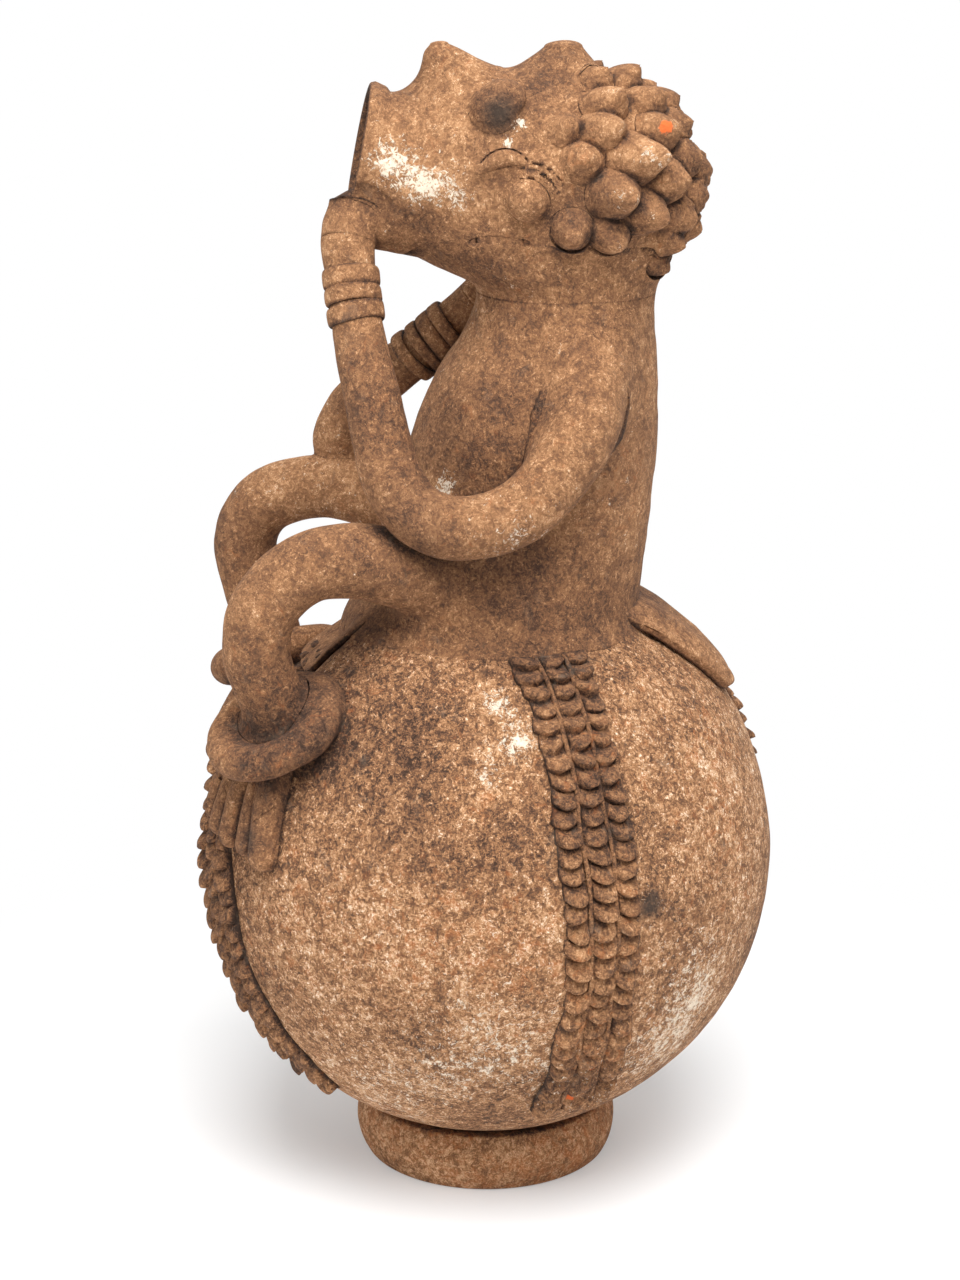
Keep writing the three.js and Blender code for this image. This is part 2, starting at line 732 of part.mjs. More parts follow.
// A toe runs down the pot. Its tip is rounder and further from the middle toe than its root.
function toe(turn, place) {
  const points = [0, 0.5, 1].map((f) => {
    const drop = ANKLET.drop + TOE.above + (TOE.below - TOE.above - Math.abs(place)) * f;
    const spread = TOE.spread * (1 - TOE.narrow + TOE.narrow * f);
    const p = onPot(drop, turn + place * spread, TOE.lift);
    return { x: p.x, y: p.y, z: p.z, r: TOE.radius };
  });
  return roll(points, { steps: 1, sides: SMALL_SIDES, round: true });
}

function foot(turn) {
  const sole = { ...FOOT, turn, top: ANKLET.drop + FOOT.above, bottom: ANKLET.drop + FOOT.below };
  return Array.from({ length: TOE.count }, (_, i) => toe(turn, i - (TOE.count - 1) / 2)).reduce(
    (sum, piece) => sum.add(piece),
    pad(sole),
  );
}

// A point of the skull, by polar angle from the back and angle round from the crown.
function onSkull(polar, round, grow) {
  const p = polar * TURN;
  const w = round * TURN;
  return new THREE.Vector3(
    (SKULL.across + grow) * Math.sin(p) * Math.sin(w),
    SKULL.y + (SKULL.deep + grow) * Math.cos(p),
    SKULL.z + (SKULL.tall + grow) * Math.sin(p) * Math.cos(w),
  );
}

// A pinched knob: a blunt cone that leans back from the skull.
function knob(polar, round, grow) {
  const base = onSkull(polar, round, 0);
  const axis = base
    .clone()
    .sub(new THREE.Vector3(0, SKULL.y, SKULL.z))
    .normalize()
    .addScaledVector(Y_AXIS, KNOB_SWEEP)
    .normalize();
  const across = Z_AXIS.clone().cross(axis).normalize();
  const up = axis.clone().cross(across);
  const rings = KNOB_OUTLINE.map(({ ahead, size }) => {
    const r = KNOB_RADIUS * size + grow;
    const middle = base.clone().addScaledVector(axis, ahead * KNOB_HEIGHT);
    return ellipse(middle, across, up, r, r, SMALL_SIDES);
  });
  return skin(rings);
}

// Two neighbouring knobs are joined by a short roll that lies on the skull.
function hairRow(row, grow) {
  const turns = Array.from({ length: row.count }, (_, i) => row.first + row.step * i);
  const knobs = turns.map((turn) => knob(row.polar, turn, grow));
  const beds = turns.slice(1).map((turn) => {
    const points = [1, 0].map((back) => {
      const p = onSkull(row.polar, turn - back * row.step, -HAIR_BED_SINK);
      return { x: p.x, y: p.y, z: p.z, r: HAIR_BED_RADIUS };
    });
    return roll(points, { grow, steps: 1, sides: SMALL_SIDES });
  });
  return [...knobs, ...beds].reduce((sum, piece) => sum.add(piece));
}

// A ball of clay pressed flat against the side of the head.
function pressedBall(middle, radius, flat) {
  const ball = new THREE.SphereGeometry(radius, BALL_SIDES, SMALL_SIDES)
    .scale(flat, 1, 1)
    .translate(middle.x, middle.y, middle.z);
  return solid(ball);
}

function ear(side) {
  const middle = onFace({ ...EAR, round: side * EAR.round });
  const coil = Array.from({ length: EAR_COIL.count }, (_, i) => {
    const angle = (EAR_COIL.first + EAR_COIL.step * i) * TURN;
    return {
      x: middle.x + side,
      y: middle.y + EAR.coilRadius * Math.cos(angle),
      z: middle.z + EAR.coilRadius * Math.sin(angle),
      r: EAR.coilThick,
    };
  });
  const inward = middle.clone().addScaledVector(X_AXIS, -side);
  return pressedBall(middle, EAR.radius, LOBE)
    .add(pressedBall(inward, EAR.coilRadius, EAR_BED))
    .add(roll(coil, { steps: LIMB_SIDES, sides: SMALL_SIDES, round: true }));
}

function eye(side) {
  return pressedBall(onFace({ ...EYE, round: side * EYE.round }), EYE.radius, 1);
}

function nose() {
  const root = onFace({ along: NOSE_ALONG, round: 0, sink: 0 });
  const stations = NOSE_STATIONS.map((s) => ({ ...s, y: root.y + s.y, z: root.z + s.rise }));
  return stack(stations, 0, 6, TRIM_SIDES);
}

function forelock(grow) {
  const crown = SKULL.z + SKULL.tall;
  const stations = FORELOCK_STATIONS.map((s) => ({ ...s, y: SKULL.y + s.y, z: crown + s.rise }));
  return stack(stations, grow, 5, TRIM_SIDES);
}

// Assembly

const vessel = new THREE.Group();
vessel.name = "figural_vessel";

function place(name, body, clay) {
  const m = body.getMesh();
  const points = new Float32Array(m.numVert * 3);
  for (let i = 0; i < m.numVert; i++) {
    points.set(m.vertProperties.subarray(i * m.numProp, i * m.numProp + 3), i * 3);
  }
  const geometry = new THREE.BufferGeometry()
    .setAttribute("position", new THREE.BufferAttribute(points, 3))
    .setIndex(new THREE.BufferAttribute(m.triVerts, 1));
  geometry.computeVertexNormals();
  const mesh = new THREE.Mesh(geometry, new THREE.MeshStandardMaterial({ ...clay, metalness: 0 }));
  mesh.name = name;
  vessel.add(mesh);
}

const ball = potBall(LUTE);
const torso = torsoOuter(LUTE);
const head = headSolid(LUTE);
const bands = BANDS.map(bandRoom).reduce((sum, room) => sum.add(room));

place("ring_stand", ringStand(), STAND_CLAY);
place("pot_body", potBody(), POT_CLAY);
place("torso", torsoShell(), FIGURE_CLAY);
place("head_shell", headShell(), FIGURE_CLAY);

const leftLeg = (grow) => leg(LEFT_THIGH, LEFT_SHIN, LEFT_ANKLE_TURN, grow);
const rightLeg = (grow) => leg(RIGHT_THIGH, RIGHT_SHIN, RIGHT_ANKLE_TURN, grow);
const legs = leftLeg(LUTE).add(rightLeg(LUTE));
const seat = torso.add(ball).add(bands);
place("leg_left", leftLeg(0).subtract(seat), FIGURE_CLAY);
place("leg_right", rightLeg(0).subtract(seat), FIGURE_CLAY);

const trunk = torso.add(legs);
place("arm_left", armRoll(LEFT_ARM, LEFT_HAND, 0).subtract(trunk), FIGURE_CLAY);
place("arm_right", armRoll(RIGHT_ARM, RIGHT_HAND, 0).subtract(trunk), FIGURE_CLAY);
place("hand_left", handRoll(LEFT_ARM, LEFT_HAND, 0).subtract(head), FIGURE_CLAY);
place("hand_right", handRoll(RIGHT_ARM, RIGHT_HAND, 0).subtract(head.add(torso)), FIGURE_CLAY);

for (let i = 0; i < LEFT_BRACELETS.count; i++) {
  place("bracelet_left_" + (i + 1), bracelet(LEFT_ARM, LEFT_HAND, LEFT_BRACELETS, i), FIGURE_CLAY);
}
for (let i = 0; i < RIGHT_BRACELETS.count; i++) {
  const ring = bracelet(RIGHT_ARM, RIGHT_HAND, RIGHT_BRACELETS, i).subtract(torso);
  place("bracelet_right_" + (i + 1), ring, FIGURE_CLAY);
}

const aroundAnkle = ball.add(legs).add(bands);
for (const [side, turn, inward] of [["left", LEFT_ANKLE_TURN, -1], ["right", RIGHT_ANKLE_TURN, 1]]) {
  const sole = foot(turn + inward * TOE_IN).subtract(aroundAnkle).subtract(anklet(turn, LUTE));
  place("anklet_" + side, anklet(turn, 0).subtract(aroundAnkle), FIGURE_CLAY);
  place("foot_" + side, sole, FIGURE_CLAY);
}

place("flap_front", flap(FRONT_FLAP).subtract(torso.add(bands)), FIGURE_CLAY);
place("flap_back", flap(BACK_FLAP).subtract(torso.add(bands)), FIGURE_CLAY);

for (const band of BANDS) {
  for (const row of [1, 2, 3]) {
    const pellets = pelletRow(band, (row - 2) * ROW_SPACING);
    place("pellets_" + band.name + "_" + row, pellets.subtract(torso), TRIM_CLAY);
  }
  for (const row of [1, 2]) {
    const line = cord(band, (row - 1.5) * ROW_SPACING);
    place("cord_" + band.name + "_" + row, line.subtract(torso), TRIM_CLAY);
  }
}

place("nose", nose().subtract(head), FIGURE_CLAY);
place("forelock", forelock(0).subtract(head), FIGURE_CLAY);
for (const [side, sign] of [["left", 1], ["right", -1]]) {
  place("eye_" + side, eye(sign).subtract(head), RUBBED_CLAY);
  place("ear_" + side, ear(sign).subtract(head), FIGURE_CLAY);
}

let hairBlock = head.add(forelock(LUTE)).add(ear(1)).add(ear(-1));
for (const row of HAIR_ROWS) {
  place(row.name, hairRow(row, 0).subtract(hairBlock), TRIM_CLAY);
  hairBlock = hairBlock.add(hairRow(row, LUTE));
}

export default vessel;
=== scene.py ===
"""Figural terracotta vessel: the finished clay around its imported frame.

Every piece is a surface worked out with numpy in millimetres and put into a mesh in metres. The
clay pieces share one set of forms, signed distances to ball, rolls and shells, so that a piece
can flow into its neighbours as luted clay does and still be a piece of its own.
"""

from __future__ import annotations

import logging
import math
from dataclasses import dataclass, field, replace
from enum import Enum
from itertools import product
from typing import Callable, Iterable, Sequence

import bpy
import numpy as np
from mathutils import Matrix, Vector

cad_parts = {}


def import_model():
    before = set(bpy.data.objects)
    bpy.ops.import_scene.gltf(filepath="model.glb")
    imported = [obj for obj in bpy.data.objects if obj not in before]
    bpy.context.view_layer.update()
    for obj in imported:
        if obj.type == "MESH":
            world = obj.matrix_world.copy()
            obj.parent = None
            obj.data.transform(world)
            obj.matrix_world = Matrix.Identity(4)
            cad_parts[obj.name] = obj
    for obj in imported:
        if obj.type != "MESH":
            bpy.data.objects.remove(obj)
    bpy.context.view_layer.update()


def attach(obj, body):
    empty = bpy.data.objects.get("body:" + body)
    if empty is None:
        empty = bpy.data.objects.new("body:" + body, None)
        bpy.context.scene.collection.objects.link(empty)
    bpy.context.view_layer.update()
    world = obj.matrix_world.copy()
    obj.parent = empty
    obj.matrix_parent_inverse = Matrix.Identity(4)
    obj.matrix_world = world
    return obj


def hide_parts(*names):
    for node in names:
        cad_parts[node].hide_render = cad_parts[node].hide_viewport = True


Array = np.ndarray
Reach = Callable[[Array], Array]
Place = tuple[float, float, float]
MM = 0.001
TURN = math.pi / 180
ACROSS = np.array([1.0, 0.0, 0.0])
LOG = logging.getLogger("vessel")


class Body(Enum):
    """The two bodies of the frame."""

    STAND = "stand"
    VESSEL = "vessel"


class Mark(Enum):
    """Weathering, painted shade and painted light that a surface carries as point attributes."""

    # Lime crust; on the hair it also carries a painted highlight on the tips and shade at their bases
    CRUST = "crust"
    SOOT = "soot"
    RUST = "rust"
    CHIP = "chip"
    # Painted shade in creases and in dark patches; a negative amount paints light
    DIRT = "dirt"


class Side(Enum):
    """The figure's sides, by the sign of X."""

    LEFT = 1
    RIGHT = -1

    @property
    def word(self) -> str:
        """The side's name in lower case."""
        return self.name.lower()


# Lines and noise


def smooth_line(points: Array, ts: Array, even: bool = False) -> Array:
    """A Catmull-Rom line through rows of points.

    Each span is the cubic whose end slopes come from the points on both sides. Knots are spaced
    by the square root of the distance between points, or evenly.

    Args:
        points: rows whose first three columns are a place; further columns are carried along.
        ts: fractions of the line, from 0 to 1.
        even: whether the knots are spaced evenly.

    Returns:
        One row for each fraction.
    """
    ends = np.vstack([2 * points[0] - points[1], points, 2 * points[-1] - points[-2]])
    place = np.clip(ts, 0, 1) * (len(points) - 1)
    span = np.minimum(place.astype(int), len(points) - 2)
    w = (place - span)[:, None]
    p0, p1, p2, p3 = (ends[span + k] for k in range(4))

    def knot(a: Array, b: Array) -> Array:
        """The knot spacing between two neighbouring points."""
        if even:
            return np.ones((len(a), 1))
        return np.maximum(((a - b)[:, :3] ** 2).sum(1, keepdims=True), 1e-9) ** 0.25

    d0, d1, d2 = knot(p0, p1), knot(p1, p2), knot(p2, p3)
    t1 = ((p1 - p0) / d0 - (p2 - p0) / (d0 + d1) + (p2 - p1) / d1) * d1
    t2 = ((p2 - p1) / d1 - (p3 - p1) / (d1 + d2) + (p3 - p2) / d2) * d1
    cube = 2 * p1 - 2 * p2 + t1 + t2
    square = -3 * p1 + 3 * p2 - 2 * t1 - t2
    return p1 + t1 * w + square * w**2 + cube * w**3


def steps(points: Array, count: int, even: bool = False) -> Array:
    """A smooth line through rows of points, as a count of rows from end to end."""
    return smooth_line(points, np.linspace(0, 1, count), even)


def around(count: int) -> Array:
    """Angles round a full turn, the last one a step short of the first."""
    return np.linspace(0, 2 * math.pi, count, endpoint=False)


def spokes(first: Array, second: Array, angle: Array) -> Array:
    """Arrows that turn from a first direction to a second: cos·first + sin·second."""
    return first * np.cos(angle)[..., None] + second * np.sin(angle)[..., None]


def smoothstep(low: float, high: float, value: Array) -> Array:
    """0 below low, 1 above high, and the cubic 3t² - 2t³ between."""
    t = np.clip((value - low) / (high - low), 0, 1)
    return t * t * (3 - 2 * t)


def unit(vectors: Array) -> Array:
    """Vectors along the last axis, at length one."""
    return vectors / np.maximum(np.linalg.norm(vectors, axis=-1, keepdims=True), 1e-12)


def signed_power(value: Array, power: float) -> Array:
    """A power of the size of a value, with the value's sign kept."""
    return np.sign(value) * np.abs(value) ** power


class Lumps:
    """Seeded value noise: random numbers on a lattice, blended by a smoothstep in each cell."""

    SIDE = 32

    def __init__(self, seed: int) -> None:
        """Draws the lattice from a seed."""
        self.values = np.random.default_rng(seed).uniform(-1, 1, (self.SIDE,) * 3)

    def __call__(self, points: Array, size: float) -> Array:
        """The noise at some points.

        Args:
            points: an array whose last axis is a place in millimetres.
            size: the lattice spacing in millimetres.

        Returns:
            Values from -1 to 1, in the points' shape without their last axis.
        """
        place = points / size
        cell = np.floor(place).astype(int)
        part = place - cell
        part = part * part * (3 - 2 * part)
        total = np.zeros(points.shape[:-1])
        for corner in product((0, 1), repeat=3):
            weight = np.prod(np.where(corner, part, 1 - part), axis=-1)
            x, y, z = np.moveaxis((cell + corner) % self.SIDE, -1, 0)
            total += weight * self.values[x, y, z]
        return total


# Forms: signed distances in millimetres, negative inside


def smooth_min(a: Array, b: Array, reach: Array | float) -> Array:
    """The smaller of two distances, lowered by h²·reach/4 where they differ by less than reach."""
    h = np.maximum(reach - np.abs(a - b), 0) / reach
    return np.minimum(a, b) - h * h * reach / 4


class Form:
    """A solid given by the signed distance to its surface."""

    WIDEST_REACH = 24.0

    low: Array
    high: Array

    def gap(self, points: Array) -> Array:
        """Signed distances to the surface.

        Args:
            points: rows of x, y and z.

        Returns:
            One distance for each row.
        """
        raise NotImplementedError

    def close(self, points: Array) -> Array:
        """The numbers of the points within the widest reach of the form's box."""
        low, high = self.low - self.WIDEST_REACH, self.high + self.WIDEST_REACH
        return np.flatnonzero(np.all((points > low) & (points < high), axis=1))


class Ball(Form):
    """A ball: the distance to its centre less its radius."""

    def __init__(self, centre: Sequence[float], radius: float) -> None:
        """Keeps the ball's centre and radius."""
        self.centre = np.array(centre, float)
        self.radius = radius
        self.low = self.centre - radius
        self.high = self.centre + radius

    def gap(self, points: Array) -> Array:
        """Signed distances of rows of points."""
        return np.linalg.norm(points - self.centre, axis=1) - self.radius


class Egg(Form):
    """An ellipsoid, by k0(k0 - 1)/k1 with k0 = |p/r| and k1 = |p/r²|."""

    def __init__(self, centre: Sequence[float], radii: Sequence[float]) -> None:
        """Keeps the centre and the three half sizes."""
        self.centre = np.array(centre, float)
        self.radii = np.array(radii, float)
        self.low = self.centre - self.radii
        self.high = self.centre + self.radii

    def gap(self, points: Array) -> Array:
        """Signed distances of rows of points."""
        p = points - self.centre
        k0 = np.linalg.norm(p / self.radii, axis=1)
        k1 = np.linalg.norm(p / self.radii**2, axis=1)
        return k0 * (k0 - 1) / np.maximum(k1, 1e-9)


class Ring(Form):
    """A torus: the distance to its middle circle less its thickness."""

    def __init__(self, centre: Array, axis: Array, radius: float, thick: float) -> None:
        """Keeps the ring's place, axis and two radii."""
        self.centre = centre
        self.axis = unit(axis)
        self.radius = radius
        self.thick = thick
        self.low = centre - radius - thick
        self.high = centre + radius + thick

    def gap(self, points: Array) -> Array:
        """Signed distances of rows of points."""
        p = points - self.centre
        up = p @ self.axis
        out = np.linalg.norm(p - up[:, None] * self.axis, axis=1) - self.radius
        return np.hypot(out, up) - self.thick


class Rolls(Form):
    """Tapered rolls: the least distance to short straight pieces of their lines."""

    def __init__(self, lines: Iterable[Array]) -> None:
        """Keeps the pieces of each line, whose rows are x, y, z and radius."""
        lines = list(lines)
        self.start = np.vstack([line[:-1] for line in lines])
        self.end = np.vstack([line[1:] for line in lines])
        every = np.vstack(lines)
        self.low = (every[:, :3] - every[:, 3:4]).min(0)
        self.high = (every[:, :3] + every[:, 3:4]).max(0)

    def gap(self, points: Array) -> Array:
        """Signed distances of rows of points."""
        best = np.full(len(points), np.inf)
        for a, b in zip(self.start, self.end):
            along = b[:3] - a[:3]
            p = points - a[:3]
            t = np.clip(p @ along / max(along @ along, 1e-9), 0, 1)
            size = a[3] + (b[3] - a[3]) * t
            best = np.minimum(best, np.linalg.norm(p - t[:, None] * along, axis=1) - size)
        return best


class Stack(Form):
    """A shell of ellipses stacked along Z, or along Y for the face.

    The distance is taken along the line to the ellipse's middle, and past an end along the axis.
    """

    def __init__(self, rows: Array, axis: int) -> None:
        """Keeps rows of level, offset, half width along X and half size across, by level."""
        self.rows = rows[np.argsort(rows[:, 0])]
        self.axis = axis
        self.other = 3 - axis
        reach = self.rows[:, 3].max()
        self.low = np.zeros(3)
        self.high = np.zeros(3)
        self.low[0], self.high[0] = -self.rows[:, 2].max(), self.rows[:, 2].max()
        self.low[axis], self.high[axis] = self.rows[0, 0], self.rows[-1, 0]
        self.low[self.other] = self.rows[:, 1].min() - reach
        self.high[self.other] = self.rows[:, 1].max() + reach

    def gap(self, points: Array) -> Array:
        """Signed distances of rows of points."""
        levels = self.rows[:, 0]
        level = np.clip(points[:, self.axis], levels[0], levels[-1])
        middle, across, deep = (np.interp(level, levels, self.rows[:, k]) for k in (1, 2, 3))
        u = points[:, 0]
        v = points[:, self.other] - middle
        q = np.maximum(np.hypot(u / across, v / deep), 1e-6)
        side = np.hypot(u, v) * (1 - 1 / q)
        past = np.abs(points[:, self.axis] - level)
        return np.where(past > 0, np.hypot(np.maximum(side, 0), past), side)


class Joined(Form):
    """Forms run together by a smooth least distance, each with its own reach."""

    def __init__(self, parts: Sequence[tuple[Form, float | Reach]]) -> None:
        """Keeps the forms in order; the first one's reach isn't used."""
        self.parts = list(parts)
        self.low = np.min([form.low for form, _ in self.parts], axis=0)
        self.high = np.max([form.high for form, _ in self.parts], axis=0)

    def gap(self, points: Array) -> Array:
        """Signed distances of rows of points."""
        total = self.parts[0][0].gap(points)
        for form, reach in self.parts[1:]:
            total = smooth_min(total, form.gap(points), reach)
        return total


class Skin(Joined):
    """The whole figure's clay: forms joined in order, each with a reach that varies by place."""

    def gap(self, points: Array) -> Array:
        """Signed distances of rows of points; a form far from a point leaves it alone."""
        total = self.parts[0][0].gap(points)
        for form, reach in self.parts[1:]:
            close = form.close(points)
            if close.size:
                near = points[close]
                total[close] = smooth_min(total[close], form.gap(near), reach(near))
        return total


# Surfaces


@dataclass
class Surface:
    """A closed skin on a grid: rows along the form, columns round it.

    The ends are closed by a fan to the middle of the end ring, or the last row joins the first.
    """

    points: Array
    ring: bool = False

    def faces(self) -> tuple[Array, Array]:
        """The grid's quads and the fans' triangles, by vertex number."""
        rows, cols = self.points.shape[:2]
        number = np.arange(rows * cols).reshape(rows, cols)
        ahead = np.roll(number, -1, axis=0) if self.ring else number[1:]
        here = number if self.ring else number[:-1]
        quads = np.stack([here, np.roll(here, -1, 1), np.roll(ahead, -1, 1), ahead], -1)
        if self.ring:
            return quads.reshape(-1, 4), np.empty((0, 3), int)
        first, last = number[0], number[-1]
        start = np.full(cols, rows * cols)
        fans = [
            np.stack([start, np.roll(first, -1), first], -1),
            np.stack([start + 1, last, np.roll(last, -1)], -1),
        ]
        return quads.reshape(-1, 4), np.vstack(fans)

    def vertices(self) -> Array:
        """The grid's points, and the middles of the end rings."""
        flat = self.points.reshape(-1, 3)
        if self.ring:
            return flat
        return np.vstack([flat, self.points[0].mean(0), self.points[-1].mean(0)])

    def inside_out(self) -> bool:
        """Whether the faces point inwards, by the sign of the volume that they hold."""
        v = self.vertices()
        quads, fans = self.faces()
        triangles = np.vstack([quads[:, :3], quads[:, [0, 2, 3]], fans])
        a, b, c = (v[triangles[:, k]] - v.mean(0) for k in range(3))
        return float((a * np.cross(b, c)).sum()) < 0

    def normals(self) -> Array:
        """Outward unit normals, from the central differences along rows and columns."""
        p = self.points
        along = np.roll(p, -1, 0) - np.roll(p, 1, 0) if self.ring else np.gradient(p, axis=0)
        normal = unit(np.cross(np.roll(p, -1, 1) - np.roll(p, 1, 1), along))
        return -normal if self.inside_out() else normal


def even_reach(size: float) -> Reach:
    """The same reach everywhere."""
    return lambda points: np.full(len(points), size)


def slope(form: Form, points: Array, here: Array) -> Array:
    """How fast a form's distance grows along x, y and z, from its values at the points."""
    step = 0.05
    ahead = np.stack([form.gap(points + step * axis) for axis in np.eye(3)], -1)
    return (ahead - here[:, None]) / step


# How a seam closes: depths into another form, in reaches, and cosines of the angle between a
# form's own side and the skin's, between which the pull grows from nothing to full
BURIED = (-1.6, -0.6)
FACING = (-0.35, 0.05)
NEWTON_STEPS = 10
ON_SKIN = 0.02


def settle(points: Array, own: Form, skin: Form, others: Sequence[tuple[Form, Reach]]) -> Array:
    """Pulls points of one form onto the shared skin.

    Newton steps p - F·∇F/|∇F|² run on the points within reach of another form. A point deep
    inside another form, or on the side of its own form that faces away from the skin, stays where
    it is, so that the piece dives under the seam.

    Args:
        points: places on or near the form's own surface, on a grid or in rows.
        own: the form itself.
        skin: the shared skin.
        others: the other forms and their reach.

    Returns:
        The moved points.
    """
    flat = points.reshape(-1, 3)
    pull = np.ones(len(flat))
    active = np.zeros(len(flat), bool)
    for form, reach in others:
        close = form.close(flat)
        if close.size:
            gaps = form.gap(flat[close])
            size = reach(flat[close])
            active[close] |= gaps < size
            pull[close] = np.minimum(pull[close], smoothstep(*BURIED, gaps / size))
    active &= pull > 0
    if not active.any():
        return points
    moved = flat[active].copy()
    away = unit(slope(own, moved, own.gap(moved)))
    facing = (away * unit(slope(skin, moved, skin.gap(moved)))).sum(1)
    for _ in range(NEWTON_STEPS):
        value = skin.gap(moved)
        off = np.abs(value) > ON_SKIN
        if not off.any():
            break
        uphill = slope(skin, moved[off], value[off])
        size = np.maximum((uphill**2).sum(1), 0.25)
        moved[off] -= (value[off] / size)[:, None] * uphill
    pull = (pull[active] * smoothstep(*FACING, facing))[:, None]
    result = flat.copy()
    result[active] += pull * (moved - flat[active])
    return result.reshape(points.shape)


def rings(rows: Array, cols: int, axis: int) -> Array:
    """Ellipses stacked along Y or Z: x is across·sin, and the third side is offset + deep·cos.

    Args:
        rows: each ellipse's level, offset, half width along X and half size across.
        cols: points round each ellipse.
        axis: the axis of the levels, 1 or 2, as in a Stack.

    Returns:
        The points, with a row of the grid for each ellipse.
    """
    level, offset, across, deep = (column[:, None] for column in rows.T)
    angle = around(cols)
    grid = np.empty((len(rows), cols, 3))
    grid[..., 0] = across * np.sin(angle)
    grid[..., axis] = level
    grid[..., 3 - axis] = offset + deep * np.cos(angle)
    return grid


def superellipsoid(rows: int, cols: int, flat_ends: float, flat_round: float) -> tuple[Array, ...]:
    """A superellipsoid of half size one: powers of the sines and cosines of two angles.

    Args:
        rows: steps from end to end.
        cols: steps round.
        flat_ends: the power that flattens the two ends; 1 is round.
        flat_round: the power that squares the section; 1 is round.

    Returns:
        Length, width and height on the grid, each from -1 to 1.
    """
    u = np.linspace(-math.pi / 2 + 0.02, math.pi / 2 - 0.02, rows)[:, None]
    v = around(cols)[None, :]
    length = signed_power(np.sin(u), flat_ends) * np.ones_like(v)
    width = signed_power(np.cos(u), flat_ends) * signed_power(np.cos(v), flat_round)
    height = signed_power(np.cos(u), flat_ends) * signed_power(np.sin(v), flat_round)
    return length, width, height


def tube(line: Array, cols: int, across: Array) -> Array:
    """Circles carried along a line.

    The section's first direction is the given one, made square to the line, and the second is
    the cross product of the two.

    Args:
        line: rows of x, y, z and radius.
        cols: points round each circle.
        across: a direction that isn't along the line.

    Returns:
        The points, with a row of the grid for each circle.
    """
    along = unit(np.gradient(line[:, :3], axis=0))
    first = unit(across - (along @ across)[:, None] * along)
    second = np.cross(along, first)
    round_ = spokes(first[:, None], second[:, None], around(cols))
    return line[:, None, :3] + round_ * line[:, None, 3:4]


def round_tip(line: Array, count: int) -> Array:
    """A line of x, y, z and radius, with rows added that close its end by a half ball.

    Past the end, the place runs on by the radius times the sine of an angle, and the radius
    shrinks by its cosine.

    Args:
        line: the rows of the line.
        count: how many rows are added.

    Returns:
        The longer line.
    """
    along = unit(line[-1, :3] - line[-2, :3])
    tilt = np.linspace(0, math.pi / 2, count + 1)[1:] * 0.97
    radius = line[-1, 3]
    places = line[-1, :3] + radius * np.sin(tilt)[:, None] * along
    return np.vstack([line, np.column_stack([places, radius * np.cos(tilt)])])


# The vessel's sizes, in millimetres, as in the part's source


@dataclass(frozen=True)
class Sizes:
    """Driving sizes of pot, seat, neck and skull, and the seat's drop from the pot's top."""

    pot_radius: float = 140.0
    pot_z: float = 158.0
    seat_z: float = 278.07
    neck_z: float = 434.07
    skull_z: float = 485.07
    seat_drop: float = 30.95


SIZES = Sizes()
# The hollow's depth and middle, and the degrees between which it opens below the pot's top, closes
# again further down, and closes to either side
HOLLOW_DEPTH = 11.5
HOLLOW_TURN = -101.0
HOLLOW_OPENS = (24, 33)
HOLLOW_CLOSES = (60, 47)
HOLLOW_SIDES = (42, 20)


def hollow(drop: Array, turn: Array) -> Array:
    """How far the hand-built ball falls in between the feet, under the front flap.

    The depth is a product of smoothsteps, two down the pot and one to either side.
    """
    down = smoothstep(*HOLLOW_OPENS, drop) * smoothstep(*HOLLOW_CLOSES, drop)
    return HOLLOW_DEPTH * down * smoothstep(*HOLLOW_SIDES, np.abs(turn - HOLLOW_TURN))


def on_pot(drop: Array, turn: Array, height: Array) -> Array:
    """Points above the pot.

    Args:
        drop: degrees down from the pot's top.
        turn: degrees round from +X.
        height: millimetres off the clay.

    Returns:
        The points, in the common shape of the three.
    """
    drop, turn = np.asarray(drop, float), np.asarray(turn, float)
    r = SIZES.pot_radius + height - hollow(drop, turn)
    drop, turn = drop * TURN, turn * TURN
    xyz = [np.sin(drop) * np.cos(turn), np.sin(drop) * np.sin(turn), np.cos(drop)]
    return np.stack(np.broadcast_arrays(*[r * c for c in xyz]), -1) + [0, 0, SIZES.pot_z]


def height_on_pot(points: Array) -> Array:
    """Heights of rows of points above the pot's true ball."""
    return np.linalg.norm(points - [0, 0, SIZES.pot_z], axis=1) - SIZES.pot_radius


def above(level: float, rows: Sequence[Sequence[float]], column: int = 2) -> Array:
    """Rows as an array, with one column counted from a level."""
    table = np.array(rows, float)
    table[:, column] += level
    return table


# Ellipses by level, offset, half width along X and half size across, and rolls by x, y, z, radius

TORSO = above(SIZES.seat_z, [
    (-22, 2, 72, 72), (0, 2, 70, 71), (25, 12, 62, 63), (57, 18, 59, 61),
    (89, 23, 58, 58), (117, 28, 52, 52), (137, 34, 44, 45), (156, 37, 40, 41),
], column=0)
COLLAR = above(SIZES.neck_z, [(6, 35.5, 40, 43), (13, 31.5, 39.5, 49), (27, 26, 37, 55)], column=0)
SKULL = np.array([0, 45, SIZES.skull_z])
SKULL_HALF = np.array([48, 51, 46.5])
FACE = above(SIZES.skull_z, [
    (36, 1, 47.5, 46.5), (15, 4, 45, 46), (-5, 5, 40, 43), (-25, 4, 35, 39.5),
    (-42, 6, 32, 35), (-53, 14, 30, 30), (-70, 20, 30, 27),
], column=1)
LIPS_Y = -58.3
LIPS_LEAN = 0.2
NOSE = np.array([
    (512, -10, 18, 26), (524, -12, 16, 21), (535, -15, 12, 16), (543.5, -19.5, 8.5, 10),
    (547.8, -22, 4, 4.5),
])
FORELOCK = np.array([(514, 32, 22, 24), (530, 33, 19, 19.5), (539, 34, 14, 15), (546, 35, 8, 9)])
